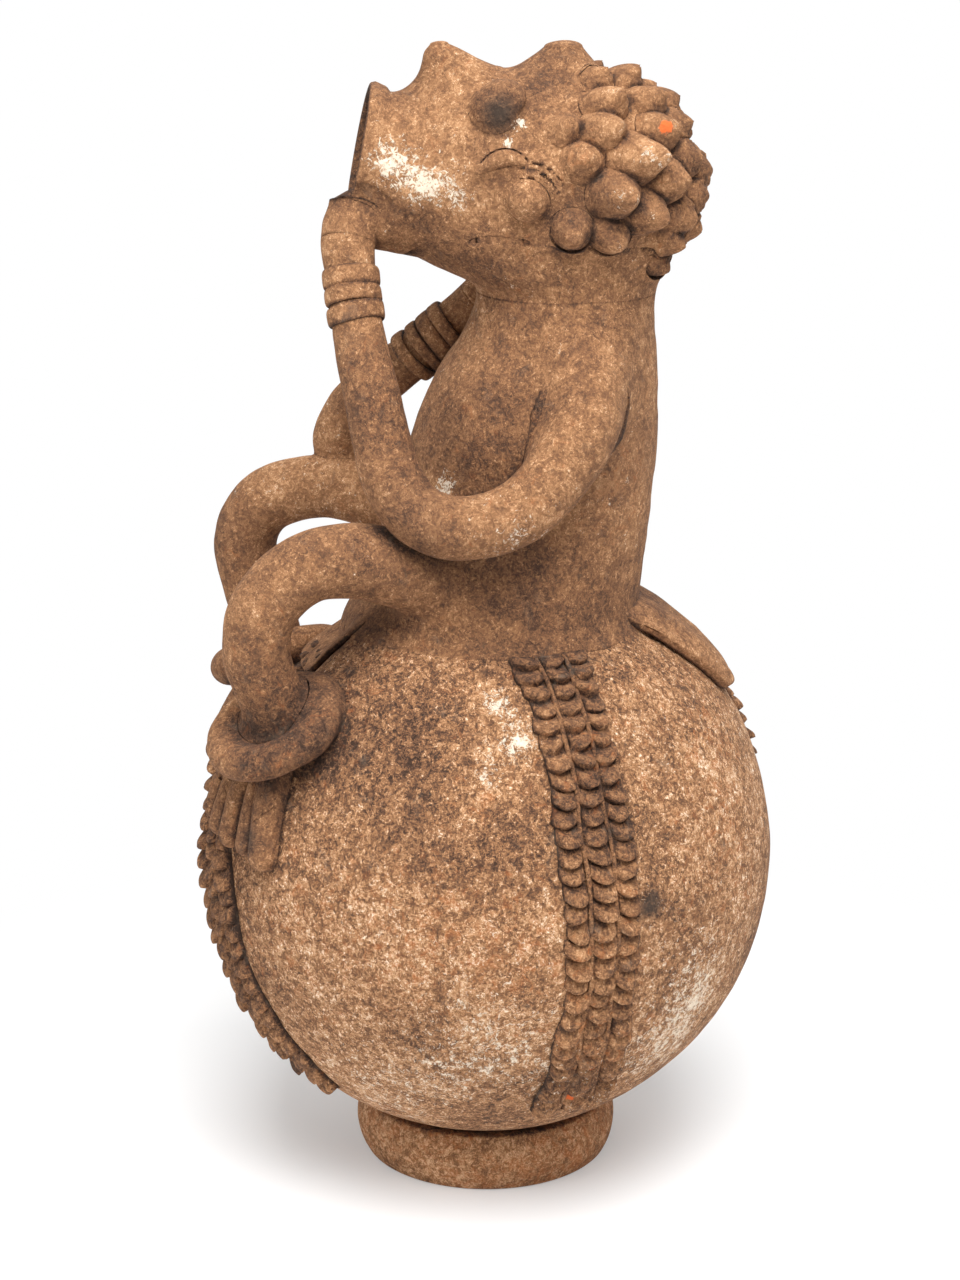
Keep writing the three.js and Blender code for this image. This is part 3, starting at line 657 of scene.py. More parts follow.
ARMS = {
    Side.LEFT: np.vstack([
        above(SIZES.seat_z, [
            (31, 45, 138, 11), (62, 40, 105, 16), (72, 28, 86, 15.5), (76, 12, 70, 15),
            (77, -4, 63, 14.6), (74, -22, 61, 14.4), (67, -38, 67, 14), (61, -47, 80, 14),
            (54, -52, 98, 13.5), (48, -55.5, 115, 13.2), (39, -60, 136, 12.5),
            (32, -62.5, 153, 11.2), (26, -64, 168, 11.3),
        ]),
        above(SIZES.skull_z, [(19, -65, -25, 12.8), (13, -60, -15, 14), (9, -45, -17, 14)]),
    ]),
    Side.RIGHT: np.vstack([
        above(SIZES.seat_z, [
            (-31, 45, 138, 11), (-62, 40, 102, 16), (-72, 28, 80, 15.5), (-76, 10, 62, 14.6),
            (-77, -10, 55, 14), (-76, -32, 54, 13.6), (-73, -53, 55, 13.6), (-70, -67, 66, 13.4),
            (-65, -63, 85, 13), (-59, -49, 100, 12.4), (-54, -31, 115, 11.4),
            (-51, -14, 129, 11.4),
        ]),
        above(SIZES.skull_z, [(-49, 0, -66, 12), (-46, 11, -53, 12), (-40, 15, -37, 12)]),
    ]),
}
WRIST = {Side.LEFT: 13 / 15, Side.RIGHT: 12 / 14}
ANKLE_DROP = 54.9
ANKLE_TURN = {Side.LEFT: -56.8, Side.RIGHT: -122.7}
ANKLET_RADIUS = 26.5
ANKLET_THICK = 8.2
ANKLET_LEAN = 28.0
ANKLE = {side: on_pot(ANKLE_DROP, turn, ANKLET_THICK + 1.6) for side, turn in ANKLE_TURN.items()}
ANKLET_AT = {Side.LEFT: ANKLE[Side.LEFT], Side.RIGHT: ANKLE[Side.RIGHT] - [0, 0, 4]}
ANKLET_AXIS_TURN = {Side.LEFT: -56.8, Side.RIGHT: -154.0}


def anklet_axis(side: Side) -> Array:
    """The ring's axis; the right ring dips into the pot's hollow."""
    lean, turn = ANKLET_LEAN * TURN, ANKLET_AXIS_TURN[side] * TURN
    return np.array([
        math.sin(lean) * math.cos(turn), math.sin(lean) * math.sin(turn), math.cos(lean)
    ])


LEGS = {
    Side.LEFT: np.vstack([
        above(SIZES.seat_z, [
            (36, -10, 18, 18.4), (53, -43, 36, 18), (62, -68, 43, 16.8), (67, -86.6, 41.4, 16.2),
            (69, -101.5, 30.5, 16.2), (69.5, -109, 17, 16.1),
        ]),
        np.array([(2, -7.4, 33.7, 15.7), (0, -1.9, 13.7, 15), (-4, 1.5, -6, 14.6),
                  (-8, 5.5, -20, 14.4)]) + [*ANKLE[Side.LEFT], 0],
    ]),
    Side.RIGHT: np.vstack([
        above(SIZES.seat_z, [
            (-36, -10, 20, 17.8), (-51, -42, 40.5, 16.6), (-61, -70, 47, 15.5),
            (-68, -91.5, 44.2, 15.6), (-72.5, -107.5, 35.2, 16), (-74.5, -116, 18, 15.8),
        ]),
        np.array([(-8.9, -11.6, 30.7, 15.6), (-6.5, -5.5, 12, 15.2), (0, -1, -6, 14.6),
                  (6, 5, -20, 14.4)]) + [*ANKLE[Side.RIGHT], 0],
    ]),
}


# Hair


@dataclass(frozen=True)
class Knob:
    """A pinched knob of the hair.

    Polar is in degrees from the back of the skull and turn in degrees from the crown. The lean
    bends the knob from straight out towards the back.
    """

    polar: float
    turn: float
    radius: float = 9.4
    tall: float = 15.0
    lean: float = 0.62

    def line(self, count: int = 26) -> Array:
        """Rows of x, y, z and radius along the knob, from inside the skull to its blunt tip.

        The radius falls with the height h as (1 - h^1.4)^0.72, slowly at first and then fast.

        Args:
            count: how many rows there are.

        Returns:
            The rows.
        """
        p, w = self.polar * TURN, self.turn * TURN
        out = np.array([math.sin(p) * math.sin(w), math.cos(p), math.sin(p) * math.cos(w)])
        base = SKULL + SKULL_HALF * out
        axis = unit(unit(base - SKULL) + self.lean * np.array([0, 1, -0.12]))
        share = np.sin(np.linspace(-0.25, 1, count) * math.pi / 2)
        fall = (1 - np.abs(np.maximum(share, 0)) ** 1.4) ** 0.72
        return np.column_stack([
            base + self.tall * share[:, None] * axis,
            0.98 * self.radius * np.maximum(fall, 0.05) * (1 + 0.15 * np.minimum(share, 0)),
        ])


SEEN_KNOBS: dict[str, list[Knob]] = {
    "hair_fringe": [Knob(96, 72, 8.8, 12, 0.3), Knob(101, 110, 9.6, 14, 0.2),
                    Knob(104, 54, 7.2, 9, 0.5)],
    "hair_row_front": [
        Knob(80, 90, 11.4, 18, 0.3), Knob(82, 113, 9.4, 15, 0.2), Knob(86, 56, 9.8, 15),
        Knob(84, 38, 9.6, 15), Knob(88, 18, 8.6, 12),
    ],
    "hair_row_middle": [
        Knob(64, 102, 10.4, 16, 0.4), Knob(70, 70, 11.6, 20, 0.9), Knob(72, 8, 9.2, 13),
        Knob(62, 29, 9.8, 14),
    ],
    "hair_nape": [Knob(57, 147, 9.6, 12)],
    "hair_row_rear": [
        Knob(50, 82, 10.4, 13.5, 0.7), Knob(49, 11, 9.4, 11), Knob(56, 50, 10.2, 14, 0.8),
        Knob(42, 34, 9.6, 11), Knob(41, 114, 9.8, 11.5), Knob(49, 130, 9.4, 12),
    ],
    "hair_row_crown": [Knob(35, 62, 9.8, 11), Knob(20, 64, 9.4, 9.5), Knob(25, 102, 9.4, 9.5),
                       Knob(31, 142, 9.2, 10)],
}


def knobs_of(node: str) -> list[Knob]:
    """The knobs of one hair node: the seen side, the other side, or both for a whole row.

    Args:
        node: the CAD node's name.

    Returns:
        The knobs, and for the crown one more in the middle.
    """
    name = node.removesuffix("_left").removesuffix("_right")
    seen = SEEN_KNOBS[name]
    other = [replace(knob, polar=knob.polar - 1.5, turn=-knob.turn - 2) for knob in seen]
    if node.endswith("_left"):
        return seen
    if node.endswith("_right"):
        return other
    return seen + other + ([Knob(5, 10, 9.4, 9)] if name == "hair_row_crown" else [])


HAIR_NODES = (
    "hair_fringe_left", "hair_fringe_right", "hair_row_front", "hair_row_middle",
    "hair_nape_left", "hair_nape_right", "hair_row_rear", "hair_row_crown",
)


# The shared forms and the clay between them


def trunk_rows(count: int) -> Array:
    """Rows of the trunk's ellipses, from inside the pot up to inside the skull."""
    return steps(np.vstack([TORSO, COLLAR]), count, even=True)


def skull_rows(polar: Array) -> Array:
    """Rows of y, z, half width and half height of the skull, by degrees from its back."""
    out, size = np.cos(polar * TURN), np.sin(polar * TURN)
    middle = np.full(len(polar), SKULL[2])
    return np.column_stack([
        SKULL[1] + SKULL_HALF[1] * out, middle, SKULL_HALF[0] * size, SKULL_HALF[2] * size,
    ])


def face_rows(count: int) -> Array:
    """Rows of y, z, half width and half height, from behind the ears to past the lips."""
    return steps(np.vstack([skull_rows(np.array([55, 72])), FACE]), count, even=True)


HEAD = Joined([(Egg(SKULL, SKULL_HALF), 0.0), (Stack(face_rows(160), axis=1), 2.0)])


def on_head(y: Array, z: Array, side: Side) -> Array:
    """Points of the head's skin, found by stepping in from the side by 0.9 of the distance.

    Args:
        y: the points' places from front to back.
        z: their heights.
        side: the side of the head.

    Returns:
        Rows of x, y and z.
    """
    points = np.stack(np.broadcast_arrays(70.0 * side.value, y, z), -1)
    for _ in range(24):
        points[:, 0] -= side.value * 0.9 * HEAD.gap(points)
    return points


class Globe(Ball):
    """The pot's ball with its hollow."""

    def gap(self, points: Array) -> Array:
        """Distance from the ball, and how far its skin has fallen in below that point."""
        away = points - self.centre
        size = np.linalg.norm(away, axis=-1)
        drop = np.arccos(np.clip(away[..., 2] / np.maximum(size, 1e-6), -1, 1)) / TURN
        return super().gap(points) + hollow(drop, np.arctan2(away[..., 1], away[..., 0]) / TURN)


# How much clay fills the joints, in millimetres: evenly, and more where it was smeared on
SEAMS = {
    "pot": 1, "trunk": 9, "head": 22, "nose": 14, "forelock": 12, "foot": 3, "ear": 3.5, "eye": 3,
    "hair": 6,
}
ARM_SEAM, SHOULDER_CLAY, JAW_CLAY = 3.5, 19, 6
SHOULDER_FRONT, SHOULDER_RISE, JAW_RISE = (-8, 20), (344, 380), (424, 440)
LEG_SEAM, HIP_CLAY, HIP_FRONT = 5, 11, (-72, -38)
ANKLET_SEAM, ANKLET_CLAY, ANKLET_RISE = 3, 10, (2, 9)


def arm_reach(points: Array) -> Array:
    """Broad clay at the shoulders, some at the jaw, and a crisp edge elsewhere."""
    y, z = points[:, 1], points[:, 2]
    rear = smoothstep(*SHOULDER_FRONT, y)
    shoulder = SHOULDER_CLAY * smoothstep(*SHOULDER_RISE, z) * rear
    return ARM_SEAM + shoulder + JAW_CLAY * smoothstep(*JAW_RISE, z) * (1 - rear)


def leg_reach(points: Array) -> Array:
    """Broad clay at the hips, less down the shins."""
    return LEG_SEAM + HIP_CLAY * smoothstep(*HIP_FRONT, points[:, 1])


def anklet_reach(points: Array) -> Array:
    """Clay that fills the ring round the leg, and little under it, by height above the pot."""
    return ANKLET_SEAM + ANKLET_CLAY * smoothstep(*ANKLET_RISE, height_on_pot(points))


# Noises pressed into the clay, by height, size and an offset that parts one from the others: broad
# dents, finger marks and grit
FIGURE_DENTS = ((0.75, 34, 0), (0.42, 13, 50), (0.16, 5, 0))
POT_DENTS = ((0.9, 60, 0), (0.45, 24, 0), (0.12, 7, 0))
# How far out a crease is felt for, and how shut in a point is where its painted shade starts and is full
FEELERS = (2.5, 8.0)
SHUT_IN = (0.12, 0.95)


@dataclass
class Clay:
    """The shared forms by name, each with the reach of its joint, and the skin over them all."""

    lumps: Lumps = field(default_factory=lambda: Lumps(7))
    forms: dict[str, Form] = field(default_factory=dict)
    reaches: dict[str, Reach] = field(default_factory=dict)

    def __post_init__(self) -> None:
        """Works out the forms in the order in which the clay was joined."""
        self.add("pot", Globe([0, 0, SIZES.pot_z], SIZES.pot_radius))
        self.add("trunk", Stack(trunk_rows(200), axis=2))
        self.add("head", HEAD)
        for side in Side:
            self.add("leg", Rolls([steps(LEGS[side], 60)]), side, leg_reach)
        for side in Side:
            self.add("arm", Rolls([steps(ARMS[side], 70)]), side, arm_reach)
        self.add("nose", Stack(steps(NOSE, 40, even=True), axis=2))
        self.add("forelock", Stack(steps(FORELOCK, 40, even=True), axis=2))
        for side in Side:
            ring = Ring(ANKLET_AT[side], anklet_axis(side), ANKLET_RADIUS, ANKLET_THICK)
            self.add("anklet", ring, side, anklet_reach)
            self.add("foot", Foot(side).form(), side)
            self.add("ear", Ear(side).form(), side)
            self.add("eye", Eye(side).ball(), side)
        self.add("hair", Rolls([knob.line(4) for node in HAIR_NODES for knob in knobs_of(node)]))
        self.skin = Skin([(self.forms[name], self.reaches[name]) for name in self.forms])

    def add(
        self, name: str, form: Form, side: Side | None = None, reach: Reach | None = None
    ) -> None:
        """Joins one more form.

        Args:
            name: what it is.
            form: the form.
            side: its side, where it is one of a pair.
            reach: the reach of its joint, or None for the even one of its name.
        """
        full = f"{name}_{side.word}" if side else name
        self.forms[full] = form
        self.reaches[full] = reach or even_reach(SEAMS[name])

    def settled(self, points: Array, name: str) -> Array:
        """The points of a named form, pulled onto the shared skin.

        The joint of two forms has the reach of the one that was joined later.

        Args:
            points: places on the form, on a grid or in rows.
            name: the form's name.

        Returns:
            The moved points.
        """
        names = list(self.forms)
        own = names.index(name)
        others = [
            (self.forms[other], self.reaches[max(name, other, key=names.index)])
            for other in names
            if names.index(other) != own
        ]
        return settle(points, self.forms[name], self.skin, others)

    def creases(self, points: Array, normals: Array) -> Array:
        """How shut in each point is.

        The clear distance at two places out along the normal, over the way out to them, is 1 in
        the open and less in a crease.

        Args:
            points: rows of points on the skin.
            normals: their outward normals.

        Returns:
            Values from 0, open, to 1, shut in.
        """
        total = np.zeros(len(points))
        for out in FEELERS:
            clear = self.skin.gap(points + out * normals)
            total += (1 - np.clip(clear / out, 0, 1)) / len(FEELERS)
        return smoothstep(*SHUT_IN, total)

    def dents(self, points: Array, kinds: Sequence[tuple[float, float, float]]) -> Array:
        """The sum of noises, each with its height, size and offset, at some points."""
        return sum(height * self.lumps(points + offset, size) for height, size, offset in kinds)

    def kneaded(self, points: Array, amount: float = 0.9, ring: bool = False) -> Surface:
        """A surface with the hand-made unevenness pressed in along its normals.

        Args:
            points: the smooth surface's grid.
            amount: a factor on the unevenness.
            ring: whether the last row joins the first.

        Returns:
            The uneven surface.
        """
        uneven = self.dents(points, FIGURE_DENTS)[..., None]
        return Surface(points + amount * uneven * Surface(points, ring).normals(), ring)

    def luted(self, points: Array, name: str, amount: float = 0.9, ring: bool = False) -> Surface:
        """The surface of a named form, settled onto the shared skin and kneaded."""
        return self.kneaded(self.settled(points, name), amount, ring)


# Face trim


@dataclass(frozen=True)
class Eye:
    """A domed eye, with a lid over its upper rear half."""

    side: Side
    at: Place = (26.6, 3.0, 520.0)
    radius: float = 12.6
    lid: Place = (-0.8, 2.2, 2.2)

    def ball(self, moved: Place = (0, 0, 0)) -> Ball:
        """The eyeball or, moved off it, the lid's."""
        centre = (np.array(self.at) + moved) * [self.side.value, 1, 1]
        return Ball(centre, self.radius)

    def build(self, maker: Maker) -> None:
        """Ball and lid run together."""
        name = "eye_" + self.side.word
        balls = [self.ball(), self.ball(self.lid)]
        maker.dress(name, [round_lobe(maker, ball, name) for ball in balls], Finish.FIGURE)


@dataclass(frozen=True)
class Ear:
    """An ear: a round lobe with thin curved ridges over it and a broad fold in front.

    A ridge has a radius round the lobe, its first and last degree and its thickness.
    """

    side: Side
    at: tuple[float, float] = (15.5, 482.5)
    lobe: float = 9.4
    ridges: tuple[tuple[float, ...], ...] = (
        (11.8, -10, 118, 1.5), (15.0, 5, 112, 1.5), (18.2, 18, 100, 1.3),
    )

    def lines(self) -> list[Array]:
        """The rolls of the ridges and the fold, thin at both ends by powers of a sine."""
        found = []
        t = np.linspace(0, 1, 18)
        for radius, first, last, thick in self.ridges:
            angle = (first + (last - first) * t) * TURN
            rise = np.sin(math.pi * t) ** 0.6
            y, z = self.at[0] + radius * np.cos(angle), self.at[1] + radius * np.sin(angle)
            line = on_head(y, z, self.side)
            line[:, 0] -= self.side.value * (1.6 - 1.3 * rise)
            found.append(np.column_stack([line, 0.9 + thick * rise]))
        fold = on_head(-7 + 22 * t, 494 + 7 * np.sin(0.8 * math.pi * t), self.side)
        found.append(np.column_stack([fold, 1.5 + 2.6 * np.sin(math.pi * t)]))
        return found

    def ball(self) -> Ball:
        """The lobe."""
        y, z = self.at
        return Ball(on_head(np.array([y]), np.array([z]), self.side)[0], self.lobe)

    def form(self) -> Form:
        """The ear as one form."""
        return Joined([(self.ball(), 0.0), (Rolls(self.lines()), 2.0)])

    def build(self, maker: Maker) -> None:
        """The lobe, and a tube with a round tip for each ridge and the fold."""
        name = "ear_" + self.side.word
        surfaces = [round_lobe(maker, self.ball(), name)]
        for line in self.lines():
            surfaces.append(Surface(tube(round_tip(steps(line, 60), 6), 20, ACROSS)))
        maker.dress(name, surfaces, Finish.FIGURE)


def round_lobe(maker: Maker, ball: Ball, name: str) -> Surface:
    """A ball on a grid of two angles, settled into the head.

    Args:
        maker: the maker, with the shared clay.
        ball: the ball.
        name: the shared form that it belongs to.

    Returns:
        The surface.
    """
    u = np.linspace(0.03, math.pi - 0.03, 48)[:, None]
    v = around(64)[None, :]
    out = [np.cos(u) * np.ones_like(v), np.sin(u) * np.cos(v), np.sin(u) * np.sin(v)]
    return maker.clay.luted(ball.centre + ball.radius * np.stack(out, -1), name, amount=0.4)


# Materials


def linear(code: str) -> tuple[float, float, float, float]:
    """An sRGB hex colour as linear red, green, blue and alpha."""
    parts = [int(code[i : i + 2], 16) / 255 for i in (1, 3, 5)]
    rgb = [c / 12.92 if c <= 0.04045 else ((c + 0.055) / 1.055) ** 2.4 for c in parts]
    return (*rgb, 1.0)


def empty_tree(owner: bpy.types.Material | bpy.types.World) -> bpy.types.NodeTree:
    """The owner's node tree, without the nodes that it starts with."""
    owner.use_nodes = True
    owner.node_tree.nodes.clear()
    return owner.node_tree


def add(
    tree: bpy.types.NodeTree,
    kind: str,
    settings: dict[str, object] | None = None,
    inputs: dict[int | str, object] | None = None,
) -> bpy.types.Node:
    """Adds a node.

    Args:
        tree: the node tree.
        kind: the node's type.
        settings: properties of the node.
        inputs: by socket, the socket that feeds it or its value.

    Returns:
        The node.
    """
    node = tree.nodes.new(kind)
    for key, value in (settings or {}).items():
        setattr(node, key, value)
    for key, value in (inputs or {}).items():
        if isinstance(value, bpy.types.NodeSocket):
            tree.links.new(value, node.inputs[key])
        else:
            node.inputs[key].default_value = value
    return node


# The colour sockets of a Mix node, which share their names with its other ones
UNDER, OVER = 6, 7


@dataclass(frozen=True)
class Grain:
    """Noise in the clay: the size of its features in millimetres, and how they look."""

    size: float
    detail: float
    rough: float = 0.6
    swirl: float = 0.0


# Clouds of smoke and lime over the wall, mottling from the fire, grit and root threads in the clay.
# Grit is under 1 mm in such ware, and is drawn 1 to 3 mm across so that it shows in the render.
GRAINS = {
    "broad": Grain(45, 3),
    "mottle": Grain(12, 4),
    "blotch": Grain(5.5, 3),
    "grit": Grain(3.4, 6, 0.75, 1.1),
    "fine": Grain(1.2, 3, 0.7, 0.8),
    "speck": Grain(1.7, 4, 0.7, 2.2),
    "thread": Grain(5.5, 2, 0.5, 1.8),
    "broken": Grain(2.6, 2),
    "ashy": Grain(9, 4, 0.7, 1.0),
    "rusty": Grain(6, 4, 0.7, 1.0),
    "fleck": Grain(2.6, 5, 0.72, 1.4),
}


@dataclass(frozen=True)
class FiredClay:
    """Low-fired earthenware, hand-smoothed and long buried: matt, gritty, mottled and crusted.

    The tone runs from a dark pit through the clay's own brown to pale lime. Grit and specks of 1
    to 3 mm move it most, mottling of 12 mm and 45 mm less, and a piece's own marks push it up or
    down, painted shade and painted light among them. Thin layers of ash, rust, soot, lime and chips lie
    over it.
    """

    name: str
    # The clay's own browns, from the shut-in bottom of a pit to the crust of lime
    pit: str = "#33241b"
    dark: str = "#50382a"
    shade: str = "#755138"
    body: str = "#976c49"
    light: str = "#bb8d65"
    peach: str = "#dbb28c"
    lime: str = "#f1e2cd"
    # What lies on it: iron that gives an orange bloom, smoke, grey ash and fresh broken clay
    rust: str = "#b8662f"
    soot: str = "#4b3f35"
    ash: str = "#7d6f60"
    chip: str = "#dd6a35"
    # The tone's middle, how far grit and pale specks move it, and how much ash and rust show
    level: float = 0.5
    contrast: float = 1.0
    speckle: float = 0.2
    variety: float = 0.7
    warmth: float = 0.0
    # Unglazed clay scatters light and hardly shines
    roughness: float = 0.92
    shine: float = 0.3
    relief: float = 0.8

    def build(self) -> bpy.types.Material:
        """Makes the material's nodes.

        Returns:
            The material.
        """
        material = bpy.data.materials.new(self.name)
        tree = empty_tree(material)
        place = add(tree, "ShaderNodeTexCoord").outputs["Object"]

        def total(
            start: object, *terms: tuple[object, object], between: tuple[float, float] | None = None
        ) -> object:
            """A start plus each value times its weight, then spread smoothly between two values.

            Args:
                start: the first value.
                terms: values and their weights.
                between: the sums that become 0 and 1, or None to keep the sum.

            Returns:
                The sum's socket.
            """
            for value, weight in terms:
                inputs = {0: value, 1: weight, 2: start}
                math_node = add(tree, "ShaderNodeMath", {"operation": "MULTIPLY_ADD"}, inputs)
                start = math_node.outputs[0]
            if between is None:
                return start
            inputs = {"Value": start, "From Min": between[0], "From Max": between[1]}
            spread = {"interpolation_type": "SMOOTHSTEP"}
            return add(tree, "ShaderNodeMapRange", spread, inputs).outputs[0]

        grains = {}
        for name, grain in GRAINS.items():
            inputs = {"Vector": place, "Scale": 1 / (grain.size * MM), "Detail": grain.detail,
                      "Roughness": grain.rough, "Distortion": grain.swirl}
            noise = add(tree, "ShaderNodeTexNoise", None, inputs).outputs["Fac"]
            grains[name] = total(-2.0, (noise, 4.0))
        marks = {}
        for kind in Mark:
            attribute = add(tree, "ShaderNodeAttribute", {"attribute_name": kind.value})
            marks[kind] = attribute.outputs["Fac"]
        off = add(tree, "ShaderNodeMath", {"operation": "ABSOLUTE"}, {0: grains["thread"]})

        crisp = total(0, (grains["grit"], 0.75), (grains["fine"], 0.35), (grains["blotch"], 0.3),
                      between=(-0.4, 0.4))
        specks = total(0, (grains["speck"], 1.0), (grains["blotch"], 0.25), between=(0.25, 0.7))
        threads = total(0, (off.outputs[0], -1.0), between=(-0.2, -0.04))
        broken = total(0, (grains["broken"], 1.0), between=(-0.1, 0.4))
        fibres = total(0, (threads, broken))
        # Painted shade lowers the tone, and paints light where it is negative
        tone = total(
            self.level - 0.12 * self.contrast - 0.3 * self.speckle, (crisp, 0.24 * self.contrast),
            (grains["grit"], 0.2 * self.contrast), (grains["fine"], 0.16 * self.contrast),
            (specks, self.speckle), (fibres, 0.7 * self.speckle), (grains["mottle"], 0.11),
            (grains["broad"], 0.1), (marks[Mark.CRUST], 0.12), (marks[Mark.SOOT], -0.26),
            (marks[Mark.DIRT], -0.32),
        )
        ramp = add(tree, "ShaderNodeValToRGB", None, {0: tone})
        stops = [(0.0, self.pit), (0.16, self.dark), (0.32, self.shade), (0.5, self.body),
                 (0.66, self.light), (0.82, self.peach), (0.96, self.lime)]
        elements = ramp.color_ramp.elements
        for number, (at, code) in enumerate(stops):
            element = elements[number] if number < 2 else elements.new(at)
            element.position = at
            element.color = linear(code)

        # Painted shade also brings grey ash and keeps the lime flecks away
        ashy = total(-0.15, (grains["ashy"], 0.55), (grains["mottle"], -0.2), (marks[Mark.DIRT], 0.12),
                     between=(0.0, 0.6))
        rusty = total(self.warmth, (grains["rusty"], 0.5), (grains["broad"], 0.1), (marks[Mark.RUST], 0.4),
                      between=(0.1, 0.8))
        sooty = total(-0.1, (marks[Mark.SOOT], 0.7), (grains["mottle"], 0.22), (crisp, 0.3),
                      between=(0.2, 1.1))
        rarer = 0.6 * (0.5 - self.level)
        flecks = total(0, (grains["fleck"], 0.62), (grains["blotch"], 0.24), (marks[Mark.CRUST], 0.44),
                       (marks[Mark.DIRT], -0.4), between=(0.52 + rarer, 0.6 + rarer))
        chips = total(0, (marks[Mark.CHIP], 1.0), (grains["grit"], 0.16), (grains["blotch"], 0.22),
                      between=(0.52, 0.66))
        colour = ramp.outputs["Color"]
        for code, amount, share in (
            (self.ash, ashy, 0.4 * self.variety), (self.rust, rusty, 0.6 * self.variety),
            (self.soot, sooty, 0.6), (self.lime, flecks, 0.8), (self.chip, chips, 1.0),
        ):
            inputs = {"Factor": total(0, (amount, share)), UNDER: colour, OVER: linear(code)}
            colour = add(tree, "ShaderNodeMix", {"data_type": "RGBA"}, inputs).outputs[2]

        height = total(0, (grains["grit"], 0.35), (grains["fine"], 0.13), (grains["blotch"], 0.35),
                       (flecks, 0.25))
        inputs = {"Strength": 1.0, "Distance": self.relief * MM, "Height": height}
        bump = add(tree, "ShaderNodeBump", None, inputs).outputs["Normal"]
        inputs = {"Base Color": colour, "Roughness": self.roughness,
                  "Specular IOR Level": self.shine, "Normal": bump}
        shader = add(tree, "ShaderNodeBsdfPrincipled", None, inputs)
        add(tree, "ShaderNodeOutputMaterial", None, {"Surface": shader.outputs["BSDF"]})
        return material


class Finish(Enum):
    """The record's material slots and their clay."""

    # Wiped smooth with a wet hand: even brown with small pale specks
    FIGURE = (
        "figure_clay",
        FiredClay("smoothed_figure_clay", level=0.5, contrast=0.55, speckle=0.24),
    )
    # Scraped, then limed in the ground: paler, coarse and blotched
    POT = (
        "pot_clay",
        FiredClay("limed_pot_clay", level=0.55, contrast=1.0, speckle=0.34, variety=1.0,
                  warmth=0.05),
    )
    # Rich in iron: an orange bloom, and hardly any lime
    STAND = (
        "stand_clay",
        FiredClay("rusty_stand_clay", level=0.56, contrast=0.85, speckle=0.16, warmth=0.25,
                  lime="#d9b08a"),
    )
    # Pressed with a fingertip, so dirt stays: the darkest of the clays
    BAND = ("band_clay", FiredClay("pressed_band_clay", level=0.42, contrast=0.8, variety=1.3))
    # Pinched: plain brown, its tips paled by a painted highlight
    HAIR = ("hair_clay", FiredClay("pinched_hair_clay", level=0.5, contrast=0.5))

    @property
    def slot(self) -> str:
        """The record's material slot."""
        return self.value[0]

    @property
    def clay(self) -> FiredClay:
        """The fired clay that fills the slot."""
        return self.value[1]


# Weathering, and painted shade and light


# Places where one kind of mark gathers, by x, y, z, reach and amount, all as the photograph shows
PATCHES = {
    # Lime on the shoulder below the seat, low on the ball, by the bands, on jaw, eye and arms
    Mark.CRUST: (
        (95, -2, 262, 11, 1.8), (107, 8, 248, 10, 1.8), (115, -7, 236, 14, 1.5),
        (132, -12, 112, 40, 0.5), (104, 20, 70, 36, 0.55), (107, -39, 77, 40, 0.55),
        (86, 77, 79, 34, 0.9), (99, 93, 125, 28, 0.6), (96, 68, 233, 22, 0.5),
        (30, -46, 499, 10, 1.3), (33, -32, 489, 11, 1.5), (36, -15, 484, 11, 1.2),
        (36, 13, 515, 4.5, 1.7), (39, 7, 507, 4, 1.7), (42, -25, 350, 8, 1.8),
        (90, 12, 330, 20, 0.5),
    ),
    # Painted shade by the seat, shins, feet, armpit and throat; a negative amount is painted light
    Mark.DIRT: (
        (92, -50, 254, 40, 0.45), (98, -85, 100, 40, -0.2), (100, 84, 108, 30, -0.2),
        (98, 29, 254, 20, -0.2), (86, -110, 270, 30, 0.5), (100, -106, 234, 24, 0.5),
        (92, -112, 200, 20, 0.3), (66, 32, 302, 42, 0.5), (48, -2, 385, 32, 0.6),
        (58, -60, 396, 30, 0.32), (90, -8, 342, 28, -0.25), (30, -28, 462, 24, 0.32),
        (20, 27, 532, 18, 0.5), (30, -18, 512, 30, -0.3), (58, 54, 486, 26, -0.3),
    ),
    # An orange bloom on the ball, the hair's edge and the jaw
    Mark.RUST: (
        (135, -26, 183, 34, 0.35), (114, -79, 176, 26, 0.35), (60, 37, 503, 8, 1.2),
        (30, -30, 500, 14, 0.5),
    ),
    # Smoke in the eye, beside a band and on the toes and the far knee
    Mark.SOOT: (
        (123, 66, 173, 7, 1.6), (39, 3, 520, 10.5, 1.3), (88, -118, 196, 8, 1.0),
        (-72, -112, 300, 18, 0.6),
    ),
    # Fresh orange breaks low on the ball and on one knob of hair
    Mark.CHIP: ((106, 32, 72, 5.0, 0.85), (118, 40, 92, 4.0, 0.8), (41, 78, 515, 6.0, 0.95)),
}
MOST_PAINTED_SHADE = 0.9


def weather(points: Array, normals: Array, clay: Clay) -> dict[Mark, Array]:
    """The marks of a surface: soft patches of amount·exp(-(distance/reach)²), noise and painted shade in
    creases.

    Args:
        points: rows of points on it.
        normals: their outward normals.
        clay: the shared clay.

    Returns:
        How strong each mark is at each point.
    """
    marks = {mark: np.zeros(len(points)) for mark in Mark}
    for mark, rows in PATCHES.items():
        for *at, reach, amount in rows:
            away = np.linalg.norm(points - np.array(at), axis=1) / reach
            marks[mark] += amount * np.exp(-(away**2))
    marks[Mark.CRUST] += 0.45 * clay.lumps(points, 55)
    marks[Mark.SOOT] += 0.5 * np.maximum(clay.lumps(points + 200, 40), 0)
    marks[Mark.RUST] += 0.4 * clay.lumps(points + 400, 50)
    # Painted shade: the patches and the shut-in creases darken the clay, negative patches paint light, and
    # the sum is capped
    dirt = marks[Mark.DIRT] + clay.creases(points, normals)
    marks[Mark.DIRT] = np.minimum(dirt, MOST_PAINTED_SHADE)
    return marks


# Making a piece


def in_scene(name: str, data: bpy.types.ID) -> bpy.types.Object:
    """A new object in the scene, at the origin."""
    made = bpy.data.objects.new(name, data)
    bpy.context.scene.collection.objects.link(made)
    return made


